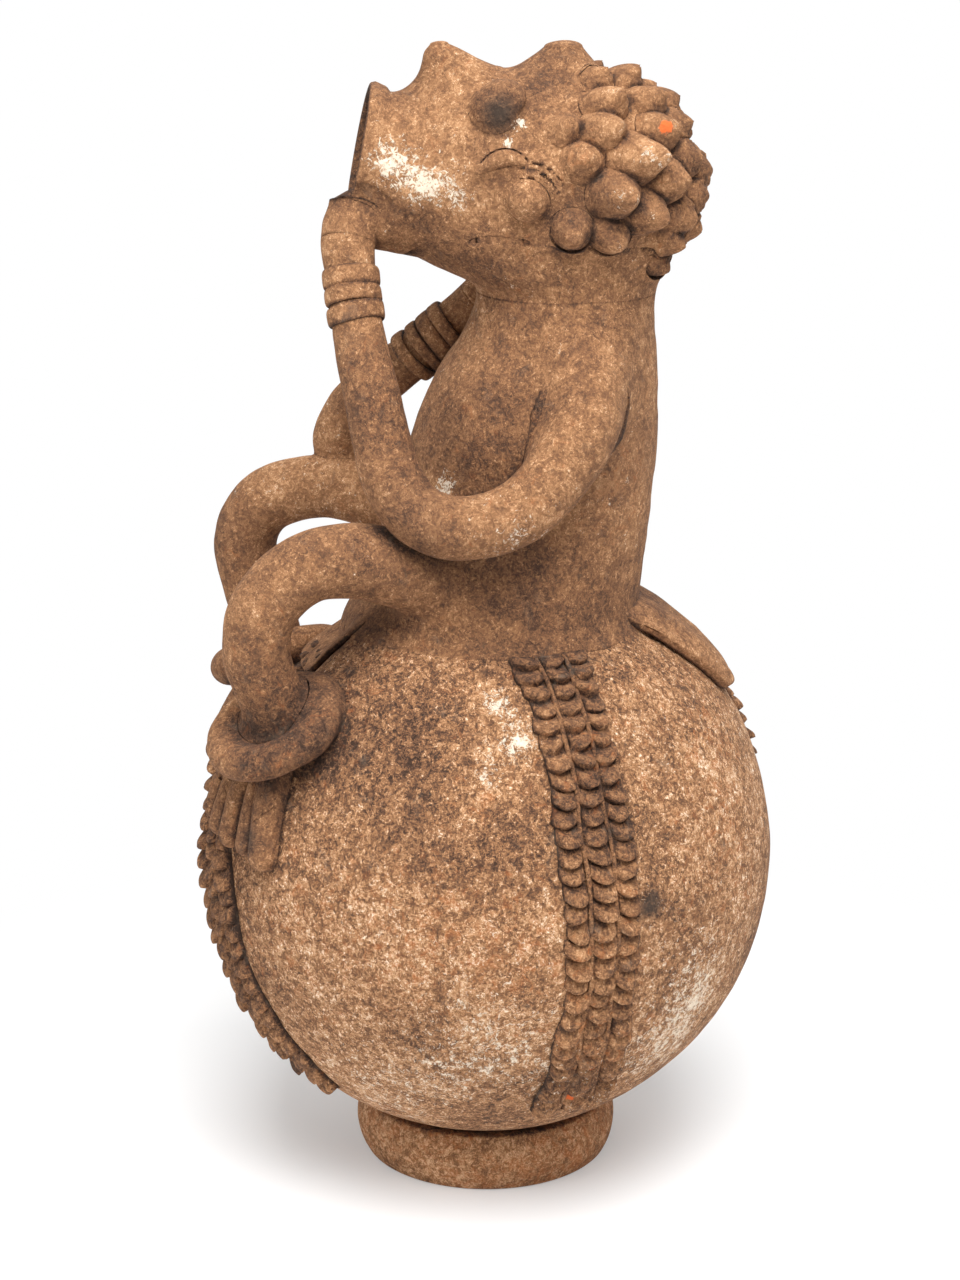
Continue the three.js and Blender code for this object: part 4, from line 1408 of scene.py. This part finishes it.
def mesh_of(name: str, surfaces: Sequence[Surface]) -> bpy.types.Mesh:
    """Puts closed surfaces into one mesh, with every face turned outwards.

    Args:
        name: the mesh's name.
        surfaces: the surfaces, in millimetres.

    Returns:
        The mesh, in metres.
    """
    vertices, quads, fans, start = [], [], [], 0
    for surface in surfaces:
        q, f = surface.faces()
        if surface.inside_out():
            q, f = q[:, ::-1], f[:, ::-1]
        vertices.append(surface.vertices())
        quads.append(q + start)
        fans.append(f + start)
        start += len(vertices[-1])
    quad, fan = np.vstack(quads), np.vstack(fans)
    mesh = bpy.data.meshes.new(name)
    mesh.vertices.add(start)
    mesh.vertices.foreach_set("co", (np.vstack(vertices) * MM).astype(np.float32).ravel())
    corners = np.concatenate([quad.ravel(), fan.ravel()]).astype(np.int32)
    mesh.loops.add(len(corners))
    mesh.loops.foreach_set("vertex_index", corners)
    first = np.concatenate([4 * np.arange(len(quad)), 4 * len(quad) + 3 * np.arange(len(fan))])
    mesh.polygons.add(len(first))
    mesh.polygons.foreach_set("loop_start", first.astype(np.int32))
    mesh.polygons.foreach_set("use_smooth", np.ones(len(first), bool))
    mesh.update(calc_edges=True)
    mesh.validate()
    return mesh


@dataclass
class Maker:
    """Turns surfaces into dressed pieces that ride on the frame."""

    clay: Clay
    materials: dict[Finish, bpy.types.Material] = field(default_factory=dict)

    def dress(
        self,
        node: str,
        surfaces: Sequence[Surface],
        finish: Finish,
        body: Body = Body.VESSEL,
        extra: dict[Mark, Callable[[Array], Array]] | None = None,
    ) -> None:
        """Makes one piece of the vessel.

        Args:
            node: the CAD node that the piece stands for.
            surfaces: its closed skins, in millimetres.
            finish: its clay.
            body: the body that it rides on.
            extra: what each vertex's marks gain, from the vertices.
        """
        points = np.vstack([surface.vertices() for surface in surfaces])
        mesh = mesh_of("fired_" + node, surfaces)
        normals = np.empty(3 * len(points), np.float32)
        mesh.vertex_normals.foreach_get("vector", normals)
        marks = weather(points, normals.reshape(-1, 3), self.clay)
        for mark, gain in (extra or {}).items():
            marks[mark] += gain(points)
        for mark, values in marks.items():
            layer = mesh.attributes.new(mark.value, "FLOAT", "POINT")
            layer.data.foreach_set("value", values.astype(np.float32))
        if finish not in self.materials:
            self.materials[finish] = finish.clay.build()
        mesh.materials.append(self.materials[finish])
        piece = in_scene("fired_" + node, mesh)
        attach(piece, body.value)
        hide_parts(node)
        LOG.info("%s: %d vertices", piece.name, len(points))


# Sub-assemblies


@dataclass
class RingStand:
    """The low ring that the pot's round bottom rests in."""

    foot: float = 61.5
    belly: float = 64.7
    rim: float = 62.6
    cradle: float = 57.0
    bore: float = 46.0
    height: float = 29.5
    play: float = 0.3
    cols: int = 200

    def build(self, maker: Maker) -> None:
        """A closed profile of radius and height, carried round the axis.

        The cradle is the pot's ball with some play: pot's height - √((radius + play)² - r²) - play.
        """
        r = np.linspace(self.cradle, self.bore, 5)
        rest = SIZES.pot_z - np.sqrt((SIZES.pot_radius + self.play) ** 2 - r**2) - self.play
        outer = np.array([
            (self.foot - 3, 0.05), (self.foot - 1, 0.5), (self.foot, 2.2), (self.foot + 2.2, 8),
            (self.belly, 14), (self.belly - 0.4, 20), (self.rim, 26), (self.rim - 1.6, 28.8),
            (self.cradle + 1.6, self.height),
        ])
        outer = steps(np.column_stack([outer, np.zeros(len(outer))]), 44)
        profile = np.vstack([
            outer[:, :2],
            np.column_stack([r, rest]),
            [(self.bore, 12), (self.bore, 0.05), (self.foot - 8, 0.0)],
        ])
        angle = around(self.cols)
        points = np.stack([
            profile[:, :1] * np.cos(angle),
            profile[:, :1] * np.sin(angle),
            profile[:, 1:] * np.ones_like(angle),
        ], -1)
        uneven = maker.clay.lumps(points, 22) * smoothstep(1, 5, points[..., 2])
        uneven *= smoothstep(29, 24, points[..., 2])
        points[..., :2] *= (1 + 0.009 * uneven)[..., None]
        maker.dress("ring_stand", [Surface(points, ring=True)], Finish.STAND, body=Body.STAND)


@dataclass
class Pot:
    """The hollow globe, open at the top under the figure."""

    wall: float = 9.0
    hole: float = 57.0
    sunk: float = 0.4
    rest: tuple[float, float] = (30.0, 48.0)
    smooth_share: float = 0.25
    rows: int = 190
    cols: int = 380

    def build(self, maker: Maker) -> None:
        """Circles on the outer ball from the bottom to the hole, then back on the inner ball.

        The clay is uneven, sunk a little so that it keeps within its size, and smoother below the
        heights of rest, where it sits in the ring.
        """
        radius = SIZES.pot_radius
        outside = np.linspace(math.pi - 0.01, math.asin(self.hole / radius), self.rows)
        inside = np.linspace(math.asin(self.hole / (radius - self.wall)), math.pi - 0.05, 24)
        angle = around(self.cols)
        turn = (angle + math.pi) % (2 * math.pi) / TURN - 180

        def skin(drop: Array, size: float) -> Array:
            """Level circles of the hollowed ball at each drop."""
            size = size - hollow(drop[:, None] / TURN, turn)
            ring = np.sin(drop)[:, None]
            return np.stack([
                size * ring * np.cos(angle),
                size * ring * np.sin(angle),
                SIZES.pot_z + size * np.cos(drop)[:, None],
            ], -1)

        clay = maker.clay
        outer = clay.settled(skin(outside, radius), "pot")
        out = unit(outer - [0, 0, SIZES.pot_z])
        free = self.smooth_share + (1 - self.smooth_share) * smoothstep(*self.rest, outer[..., 2])
        outer = outer + out * ((clay.dents(outer, POT_DENTS) - self.sunk) * free)[..., None]
        points = np.concatenate([outer, skin(inside, radius - self.wall)])
        maker.dress("pot_body", [Surface(points)], Finish.POT)


@dataclass
class Trunk:
    """The hollow torso, flowing into limbs, pot and neck."""

    wall: float = 10.0
    rows: int = 190
    cols: int = 260

    def build(self, maker: Maker) -> None:
        """Level ellipses up the outside, then down the inside of the wall."""
        rows = trunk_rows(400)
        rows = rows[rows[:, 0] <= SIZES.neck_z]
        levels = np.linspace(rows[0, 0], SIZES.neck_z - 0.1, self.rows)
        sizes = [np.interp(levels, rows[:, 0], rows[:, k]) for k in (1, 2, 3)]
        outside = np.column_stack([levels, *sizes])
        inside = outside[::-6] - [0, 0, self.wall, self.wall]
        outer = maker.clay.luted(rings(outside, self.cols, axis=2), "trunk")
        points = np.concatenate([outer.points, rings(inside, self.cols, axis=2)])
        maker.dress("torso", [Surface(points, ring=True)], Finish.FIGURE)


@dataclass
class Head:
    """The hollow head, open at the mouth, and the short neck under it."""

    wall: float = 9.5
    rim: float = 2.6
    flare: float = 0.05
    lean_from: float = -20.0
    flare_from: float = -50.0
    rows: int = 170
    cols: int = 220

    def build(self, maker: Maker) -> None:
        """Upright ellipses from the back of the skull to the lips, then back inside the mouth.

        Towards the lips the ellipses lean back and flare. The rim is a half circle of radius rim,
        and the passage narrows behind it.
        """
        rows = np.vstack([skull_rows(np.linspace(2, 53, 34)), face_rows(self.rows)])
        rows = rows[rows[:, 0] > LIPS_Y + 1.5]
        points = rings(rows, self.cols, axis=1)
        turned = smoothstep(self.lean_from, LIPS_Y, rows[:, 0])[:, None]
        points[..., 1] += turned * LIPS_LEAN * (points[..., 2] - rows[:, 1:2])
        wider = 1 + self.flare * smoothstep(self.flare_from, LIPS_Y, rows[:, 0])
        middle = np.column_stack([np.zeros(len(rows)), rows[:, 0], rows[:, 1]])[:, None]
        points = middle + wider[:, None, None] * (points - middle)
        outer = maker.clay.luted(points, "head").points
        lip = outer[-1]
        towards = unit(lip.mean(0) - lip)
        inward = unit(np.array([0, 1, -LIPS_LEAN]))
        bend = np.linspace(0.25, 1, 7) * math.pi
        rim = self.rim * np.stack([1 - np.cos(bend), -np.sin(bend)], -1)
        passage = [(self.rim * 2 + 1.5, 3), (self.wall - 1, 9), (self.wall, 16),
                   (self.wall + 1, 34), (self.wall + 8, 44)]
        inner = np.stack([
            lip + narrow * towards + deep * inward for narrow, deep in [*rim, *passage]
        ])
        skull = Surface(np.concatenate([outer, inner]))
        maker.dress("head_shell", [skull, self.collar(maker)], Finish.FIGURE)

    def collar(self, maker: Maker) -> Surface:
        """Level ellipses of the neck, from the torso's top into the skull."""
        rows = trunk_rows(500)
        rows = rows[rows[:, 0] > SIZES.neck_z - 0.2][::2]
        return maker.clay.luted(rings(rows, 260, axis=2), "trunk")


@dataclass
class Limb:
    """A roll of clay, whole or cut at the wrist."""

    name: str
    line: Array
    wrist: float = 1.0
    pitch: float = 1.3

    def surface(self, maker: Maker, start: float, end: float, tip: bool) -> Surface:
        """Circles along a stretch of the line, spaced by the pitch along and round it.

        Args:
            maker: the maker, with the shared clay.
            start: the fraction of the line where the stretch starts.
            end: where it ends.
            tip: whether a half ball closes it there.

        Returns:
            The surface.
        """
        rough = smooth_line(self.line, np.linspace(start, end, 200))
        length = np.linalg.norm(np.diff(rough[:, :3], axis=0), axis=1).sum()
        rows = smooth_line(self.line, np.linspace(start, end, max(int(length / self.pitch), 8)))
        if tip:
            rows = round_tip(rows, 12)
        cols = int(2 * math.pi * rows[:, 3].mean() / self.pitch)
        return maker.clay.luted(tube(rows, cols, ACROSS), self.name)

    def build(self, maker: Maker) -> None:
        """Builds the limb, and the hand past the wrist."""
        maker.dress(self.name, [self.surface(maker, 0, self.wrist, False)], Finish.FIGURE)
        if self.wrist < 1:
            hand = self.surface(maker, self.wrist, 1, True)
            maker.dress(self.name.replace("arm", "hand"), [hand], Finish.FIGURE)


@dataclass
class Bracelets:
    """Narrow bands of clay round one wrist."""

    side: Side
    first: float
    step: float
    widths: tuple[float, ...]
    proud: float = 1.9

    def build(self, maker: Maker) -> None:
        """A squared oval section carried round the arm's line."""
        for number, width in enumerate(self.widths):
            t = (self.first + self.step * number) * WRIST[self.side]
            rows = smooth_line(ARMS[self.side], np.array([t - 1e-3, t, t + 1e-3]))
            centre, radius = rows[1, :3], rows[1, 3]
            along = unit(rows[2, :3] - rows[0, :3])
            first = unit(ACROSS - along[0] * along)
            second = np.cross(along, first)
            a, v = around(96)[:, None], around(26)[None, :]
            wobble = 0.5 * np.sin(a + number * 2.1) + 0.3 * np.sin(2 * a + number)
            deep = 1.6 + 0.35 * np.sin(3 * a + number)
            out = radius + self.proud - deep + deep * signed_power(np.sin(v), 0.75) + 0.2
            ahead = wobble + width / 2 * signed_power(np.cos(v), 0.65)
            points = centre + spokes(first, second, a) * out[..., None] + along * ahead[..., None]

            def edges(
                p: Array, centre: Array = centre, along: Array = along, width: float = width
            ) -> Array:
                """Painted shade at the band's two edges, by the distance along the arm."""
                return 0.7 * smoothstep(0.3 * width, 0.5 * width, np.abs((p - centre) @ along))

            band = maker.clay.kneaded(points, 0.5, ring=True)
            node = f"bracelet_{self.side.word}_{number + 1}"
            maker.dress(node, [band], Finish.FIGURE, extra={Mark.DIRT: edges})


@dataclass
class Anklet:
    """A thick ring that lies on the pot round an ankle."""

    side: Side
    rows: int = 150
    cols: int = 48

    def build(self, maker: Maker) -> None:
        """Circles carried round the ring's middle circle."""
        name = "anklet_" + self.side.word
        form = maker.clay.forms[name]
        first = unit(np.cross(form.axis, [0.3, 0.1, 1.0]))
        second = np.cross(form.axis, first)
        v = around(self.cols)[None, :, None]
        out = spokes(first, second, around(self.rows)[:, None])
        points = form.centre + out * (form.radius + form.thick * np.cos(v))
        points = points + form.axis * form.thick * np.sin(v)
        maker.dress(name, [maker.clay.luted(points, name, ring=True)], Finish.FIGURE)


@dataclass
class Foot:
    """A broad fan of five toes laid on the pot below an anklet.

    A toe has its turn off the foot's middle and its length, both in degrees, and its radius. A
    fill, which closes a cleft's upper part, has the first two.
    """

    side: Side
    toe_in: float = 4.6
    toes: tuple[tuple[float, float, float], ...] = (
        (9.6, 18.2, 7.4), (5.0, 17.2, 6.4), (-0.9, 17.0, 6.8), (-5.6, 16.2, 6.6), (-10.0, 14.6, 6.2),
    )
    fills: tuple[tuple[float, float], ...] = ((7.3, 14.2), (2.0, 4.0), (-3.3, 13.5), (-7.8, 12.0))

    def roll(self, aside: float, length: float, spread: float, height: Array | float) -> Array:
        """The places of one roll's line down the pot.

        Args:
            aside: the roll's turn off the foot's middle, in degrees.
            length: its length, in degrees down the pot.
            spread: how much the turn grows on the way down.
            height: millimetres off the clay.

        Returns:
            Rows of x, y and z.
        """
        t = np.linspace(0, 1, 24)
        middle = ANKLE_TURN[self.side] - self.side.value * self.toe_in
        turn = middle + aside * self.side.value * (0.82 + 0.22 * t * spread)
        return on_pot(ANKLE_DROP + 5 + length * t, turn, height)

    def lines(self) -> list[Array]:
        """The toes' rolls, then shorter ones that fill the clefts' upper part."""
        t = np.linspace(0, 1, 24)
        found = []
        for aside, length, size in self.toes:
            radius = size * (0.95 + 0.08 * np.sin(math.pi * t))
            place = self.roll(aside, length, 1, 2.4 + 1.0 * t)
            found.append(np.column_stack([place, radius]))
        for aside, length in self.fills:
            place = self.roll(aside, length, length / 18, 2.3)
            found.append(np.column_stack([place, 6.8 - 2 * t**3]))
        return found

    def form(self) -> Form:
        """The foot as one form."""
        return Rolls(self.lines())

    def build(self, maker: Maker) -> None:
        """Each roll is a tube with a round tip, settled onto the pot."""
        name = "foot_" + self.side.word
        out = unit(ANKLE[self.side] - [0, 0, SIZES.pot_z])
        tubes = [tube(round_tip(steps(line, 44), 10), 44, out) for line in self.lines()]
        maker.dress(name, [maker.clay.luted(points, name) for points in tubes], Finish.FIGURE)


@dataclass
class Flap:
    """A slab that follows the pot between two drops, with soft ridges along it."""

    node: str
    turn: float
    top: float
    bottom: float
    half_top: float
    half_bottom: float
    thick: float
    ridge: float

    def build(self, maker: Maker) -> None:
        """A flattened superellipsoid whose length runs down the pot."""
        length, width, height = superellipsoid(90, 96, 0.32, 0.4)
        down = (length + 1) / 2
        drop = self.top + (self.bottom - self.top) * down
        half = self.half_top + (self.half_bottom - self.half_top) * down
        turn = self.turn + width * half / (SIZES.pot_radius * np.sin(drop * TURN)) / TURN
        ridges = -self.ridge * (0.5 + 0.5 * np.cos(2 * math.pi * width))
        rise = self.thick / 2 * (1 + height) + ridges * smoothstep(0, 0.8, height)
        slab = maker.clay.kneaded(on_pot(drop, turn, rise - 0.6))
        maker.dress(self.node, [slab], Finish.FIGURE)


@dataclass
class PelletBand:
    """Three rows of pressed pellets down the pot, with a thin cord in each space between.

    The band turns from start to end, in degrees, between the drops of its top, below the seat,
    and its bottom. Bulge to shift say how much one pellet differs from the next in height, width
    (a share), place aside and place down.
    """

    name: str
    start: float
    end: float
    below: float
    bottom: float = 134.0
    spacing: float = 12.6
    pitch: float = 8.6
    width: float = 12.2
    tall: float = 5.0
    crescent: float = 0.32
    twist: float = 0.2
    bulge: float = 1.3
    spread: float = 0.12
    stray: float = 1.0
    shift: float = 1.1
    bedded: float = 1.5

    def place(self, down: Array, aside: Array, height: Array | float) -> Array:
        """Points beside the band's middle line.

        Args:
            down: millimetres down the pot from the band's top.
            aside: millimetres to the side.
            height: millimetres off the clay.

        Returns:
            The points, in the common shape of the three.
        """
        top = SIZES.seat_drop + self.below
        drop = top + down / (SIZES.pot_radius * TURN)
        middle = self.start + (self.end - self.start) * (drop - top) / (self.bottom - top)
        turn = middle + aside / (SIZES.pot_radius * np.sin(drop * TURN)) / TURN
        return on_pot(drop, turn, height)

    @property
    def length(self) -> float:
        """The band's length down the pot."""
        return (self.bottom - SIZES.seat_drop - self.below) * TURN * SIZES.pot_radius

    def middle_of(self, row: float, down: Array) -> Array:
        """A row's middle line beside the band's, with the hand's slow wander."""
        wander = 0.8 * np.sin(down / 17 + row) + 0.5 * np.sin(down / 7.3 + 2 * row)
        return row * self.spacing + wander

    def pellets(self, row: int, rng: np.random.Generator) -> Array:
        """A strip of overlapping scales.

        The place along a scale, a, runs from 0 to 1, pushed by the square of the place across
        so that its lower edge is a crescent. The height climbs slowly from under the scale above
        to a bulge near the lower edge, where it falls away; across, it is a dome.

        Args:
            row: the row's number, 0 in the middle.
            rng: gives each scale its lift, width, push, bend and slip.

        Returns:
            The points on a grid, down the strip and round it.
        """
        count = round(self.length / self.pitch)
        down = np.linspace(0, self.length, count * 22 + 1)[:, None]
        across = np.linspace(-1, 1, 27)[None, :]
        lift, size, push, bend, slip = rng.uniform(-1, 1, (5, count + 2))
        place = down / self.pitch + self.crescent * across**2
        number = np.clip(np.floor(place).astype(int), 0, count + 1)
        place = place + self.twist * bend[number] * across
        a = np.clip(place - number, 0, 1)
        dome = (1 - np.abs(across) ** 3) ** 0.6
        rise = (0.22 + 0.78 * smoothstep(-0.1, 0.72, a)) * smoothstep(1.0, 0.86, a)
        height = (self.tall + self.bulge * lift[number]) * dome * (0.08 + 0.92 * rise)
        half = self.width / 2 * (1 + self.spread * size[number]) * (0.88 + 0.12 * rise)
        middle = self.middle_of(row, down)
        side = middle + across * half + self.stray * push[number] * rise
        top = self.place(down + self.shift * slip[number] * rise, side, height - 0.15)
        under = self.place(down, middle + across[:, ::-4] * self.width / 2, -self.bedded)
        return np.concatenate([top, under], axis=1)

    def cord(self, row: float) -> Array:
        """A half-round strip with a slow wave: 1.2 mm to each side, 1.3 mm up and down."""
        down = np.linspace(0, self.length, 260)[:, None]
        angle = around(14)[None, :]
        height = 0.9 + 1.3 * np.sin(angle) + 0.35 * np.sin(down / 5)
        return self.place(down, self.middle_of(row, down) + 1.2 * np.cos(angle), height)

    def dirt(self, points: Array) -> Array:
        """Painted shade low between the pellets, by height above the pot."""
        return 0.6 * smoothstep(2.9, 0.4, height_on_pot(points))

    def build(self, maker: Maker) -> None:
        """Builds the rows and the cords."""
        rng = np.random.default_rng(len(self.name))
        for row in (1, 2, 3):
            strip = maker.clay.kneaded(self.pellets(row - 2, rng), 0.4)
            dirt = {Mark.DIRT: self.dirt}
            maker.dress(f"pellets_{self.name}_{row}", [strip], Finish.BAND, extra=dirt)
        for row in (1, 2):
            strip = Surface(self.cord(row - 1.5))
            maker.dress(f"cord_{self.name}_{row}", [strip], Finish.BAND)


@dataclass
class Cone:
    """A soft cone on the head: the nose or the forelock."""

    name: str
    stations: Array

    def build(self, maker: Maker) -> None:
        """Level ellipses that shrink to a round top."""
        rows = steps(self.stations, 60, even=True)
        top = rows[-1]
        tilt = np.linspace(0, math.pi / 2, 8)[1:] * 0.96
        cap = np.column_stack([
            top[0] + 0.35 * top[2] * np.sin(tilt), np.full(len(tilt), top[1]),
            top[2] * np.cos(tilt), top[3] * np.cos(tilt),
        ])
        points = rings(np.vstack([rows, cap]), 100, axis=2)
        maker.dress(self.name, [maker.clay.luted(points, self.name)], Finish.FIGURE)


@dataclass
class Hair:
    """Rows of pinched knobs, each settled into the skull and the forelock."""

    cols: int = 40
    skull_seam: float = 6.0
    forelock_seam: float = 5.0

    def rubbed(self, points: Array) -> Array:
        """Painted highlight at the tips and painted shade at the bases, by height off the skull."""
        return 0.9 * smoothstep(6, 15, Egg(SKULL, SKULL_HALF).gap(points)) - 0.3

    def build(self, maker: Maker) -> None:
        """Each knob is a tube that narrows to a blunt tip."""
        clay = maker.clay
        bed = [(clay.forms["head"], self.skull_seam), (clay.forms["forelock"], self.forelock_seam)]
        near = [(form, even_reach(reach)) for form, reach in bed]
        for node in HAIR_NODES:
            surfaces = []
            for line in [knob.line() for knob in knobs_of(node)]:
                own = Rolls([line])
                points = tube(line, self.cols, np.array([0.2, 0.1, 1.0]))
                points = settle(points, own, Joined([(own, 1.0), *bed]), near)
                surfaces.append(clay.kneaded(points))
            # The crust mark carries the painted highlight of the tips
            maker.dress(node, surfaces, Finish.HAIR, extra={Mark.CRUST: self.rubbed})


# Studio


WHITE = (1.0, 1.0, 1.0, 1.0)


def seen(tree: bpy.types.NodeTree) -> bpy.types.NodeSocket:
    """1 for a ray from the camera or off a gloss, and 0 for light that falls on something."""
    ray = add(tree, "ShaderNodeLightPath").outputs
    either = {0: ray["Is Camera Ray"], 1: ray["Is Glossy Ray"]}
    return add(tree, "ShaderNodeMath", {"operation": "MAXIMUM"}, either).outputs[0]


def whiten(
    tree: bpy.types.NodeTree,
    end: str,
    under: bpy.types.Node,
    white: bpy.types.Node,
    amount: bpy.types.NodeSocket,
) -> None:
    """Lays a white shader over another at the tree's end.

    Args:
        tree: the node tree.
        end: the type of its output node.
        under: the shader's node that shows where the amount is 0.
        white: the white one's node.
        amount: the white one's share.
    """
    shaders = {0: amount, 1: under.outputs[0], 2: white.outputs[0]}
    mixed = add(tree, "ShaderNodeMixShader", None, shaders).outputs[0]
    add(tree, end, None, {"Surface": mixed})


@dataclass
class Studio:
    """A pale floor, soft light and the camera, in metres and watts."""

    camera_at: Place = (1.3964, -0.1008, 0.685)
    camera_along: Place = (-0.9551, 0.0668, -0.2885)
    lens: float = 85.0
    sensor: float = 36.0
    sky: float = 0.42
    lamps: tuple[tuple[str, Place, float, float], ...] = (
        ("key", (1.1, 0.1, 2.35), 1.7, 100.0),
        ("fill", (0.9, -2.0, 1.1), 1.4, 9.0),
        ("back", (-1.6, 0.6, 1.7), 1.4, 9.0),
    )
    lit_height: float = 0.3
    floor_half: float = 30.0
    floor_glow: float = 0.25
    shadow_from: float = 0.1
    shadow_to: float = 0.42

    def camera(self) -> None:
        """Places the camera at the photograph's angle."""
        data = bpy.data.cameras.new("camera")
        data.lens = self.lens
        data.sensor_width = self.sensor
        data.sensor_fit = "AUTO"
        data.clip_end = 100
        forward = Vector(self.camera_along).normalized()
        right = forward.cross(Vector((0, 0, 1))).normalized()
        turn = Matrix((right, right.cross(forward), -forward)).transposed()
        camera = in_scene("camera", data)
        camera.matrix_world = Matrix.Translation(self.camera_at) @ turn.to_4x4()
        bpy.context.scene.camera = camera

    def lamp(self, name: str, at: Place, size: float, power: float) -> None:
        """A square soft light that faces the vessel's middle.

        Args:
            name: the lamp's name.
            at: its place in metres.
            size: its side in metres.
            power: its power in watts.
        """
        data = bpy.data.lights.new(name, "AREA")
        data.energy = power
        data.size = size
        lamp = in_scene(name, data)
        towards = Vector((0, 0, self.lit_height)) - Vector(at)
        lamp.rotation_euler = towards.to_track_quat("-Z", "Y").to_euler()
        lamp.location = at

    def world(self) -> None:
        """A plain sky: white where it is seen, softer where it lights."""
        world = bpy.data.worlds.new("studio")
        bpy.context.scene.world = world
        tree = empty_tree(world)
        soft, white = (
            add(tree, "ShaderNodeBackground", None, {"Color": WHITE, "Strength": strength})
            for strength in (self.sky, 1.0)
        )
        whiten(tree, "ShaderNodeOutputWorld", soft, white, seen(tree))

    def floor(self) -> None:
        """A wide pale floor that keeps the shadow near the vessel and turns white further out."""
        mesh = bpy.data.meshes.new("floor")
        signs = ((-1, -1), (1, -1), (1, 1), (-1, 1))
        square = [(x * self.floor_half, y * self.floor_half, 0) for x, y in signs]
        mesh.from_pydata(square, [], [(0, 1, 2, 3)])
        material = bpy.data.materials.new("pale_floor")
        tree = empty_tree(material)
        place = add(tree, "ShaderNodeTexCoord").outputs["Object"]
        away = add(tree, "ShaderNodeVectorMath", {"operation": "LENGTH"}, {0: place})
        inputs = {"Value": away.outputs["Value"], "From Min": self.shadow_from,
                  "From Max": self.shadow_to}
        far = add(tree, "ShaderNodeMapRange", {"interpolation_type": "SMOOTHSTEP"}, inputs)
        inputs = {0: far.outputs[0], 1: 1 - self.floor_glow, 2: self.floor_glow}
        pale = add(tree, "ShaderNodeMath", {"operation": "MULTIPLY_ADD"}, inputs)
        inputs = {0: pale.outputs[0], 1: seen(tree)}
        amount = add(tree, "ShaderNodeMath", {"operation": "MULTIPLY"}, inputs).outputs[0]
        matt = add(tree, "ShaderNodeBsdfDiffuse", None, {"Color": (0.9, 0.9, 0.9, 1)})
        white = add(tree, "ShaderNodeEmission", None, {"Color": WHITE, "Strength": 1.0})
        whiten(tree, "ShaderNodeOutputMaterial", matt, white, amount)
        mesh.materials.append(material)
        in_scene("floor", mesh)

    def build(self) -> None:
        """Sets the stage."""
        self.camera()
        self.world()
        self.floor()
        for lamp in self.lamps:
            self.lamp(*lamp)
        bpy.context.scene.view_settings.view_transform = "Standard"


def corners(box: tuple[Vector, Vector]) -> list[list[float]]:
    """A box's two corners as plain lists."""
    return [[round(float(c), 5) for c in corner] for corner in box]


def main() -> None:
    """Builds the vessel round its frame."""
    logging.basicConfig(level=logging.INFO, format="%(message)s")
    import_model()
    Studio().build()
    maker = Maker(Clay())
    parts = [
        RingStand(),
        Pot(),
        Trunk(),
        Head(),
        *[Limb("leg_" + side.word, LEGS[side]) for side in Side],
        *[Limb("arm_" + side.word, ARMS[side], WRIST[side]) for side in Side],
        Bracelets(Side.LEFT, 0.838, 0.0395, (8.6, 8.0, 9.0)),
        Bracelets(Side.RIGHT, 0.83, 0.0285, (7.0, 6.4, 8.4, 7.4), 2.4),
        *[Anklet(side) for side in Side],
        *[Foot(side) for side in Side],
        Flap("flap_front", -90, SIZES.seat_drop - 4, SIZES.seat_drop + 12, 36, 33, 5.6, 0.8),
        Flap("flap_back", 90, SIZES.seat_drop - 4, SIZES.seat_drop + 24, 38, 19, 9.5, 1.6),
        PelletBand("left", 18, 18, 1.6),
        PelletBand("back", 104, 112, 3),
        PelletBand("right", 198, 198, 1.6),
        PelletBand("front", -84, -59, 5),
        Cone("nose", NOSE),
        Cone("forelock", FORELOCK),
        *[trim(side) for side in Side for trim in (Eye, Ear)],
        Hair(),
    ]
    for part in parts:
        part.build(maker)


if __name__ == "__main__":
    main()
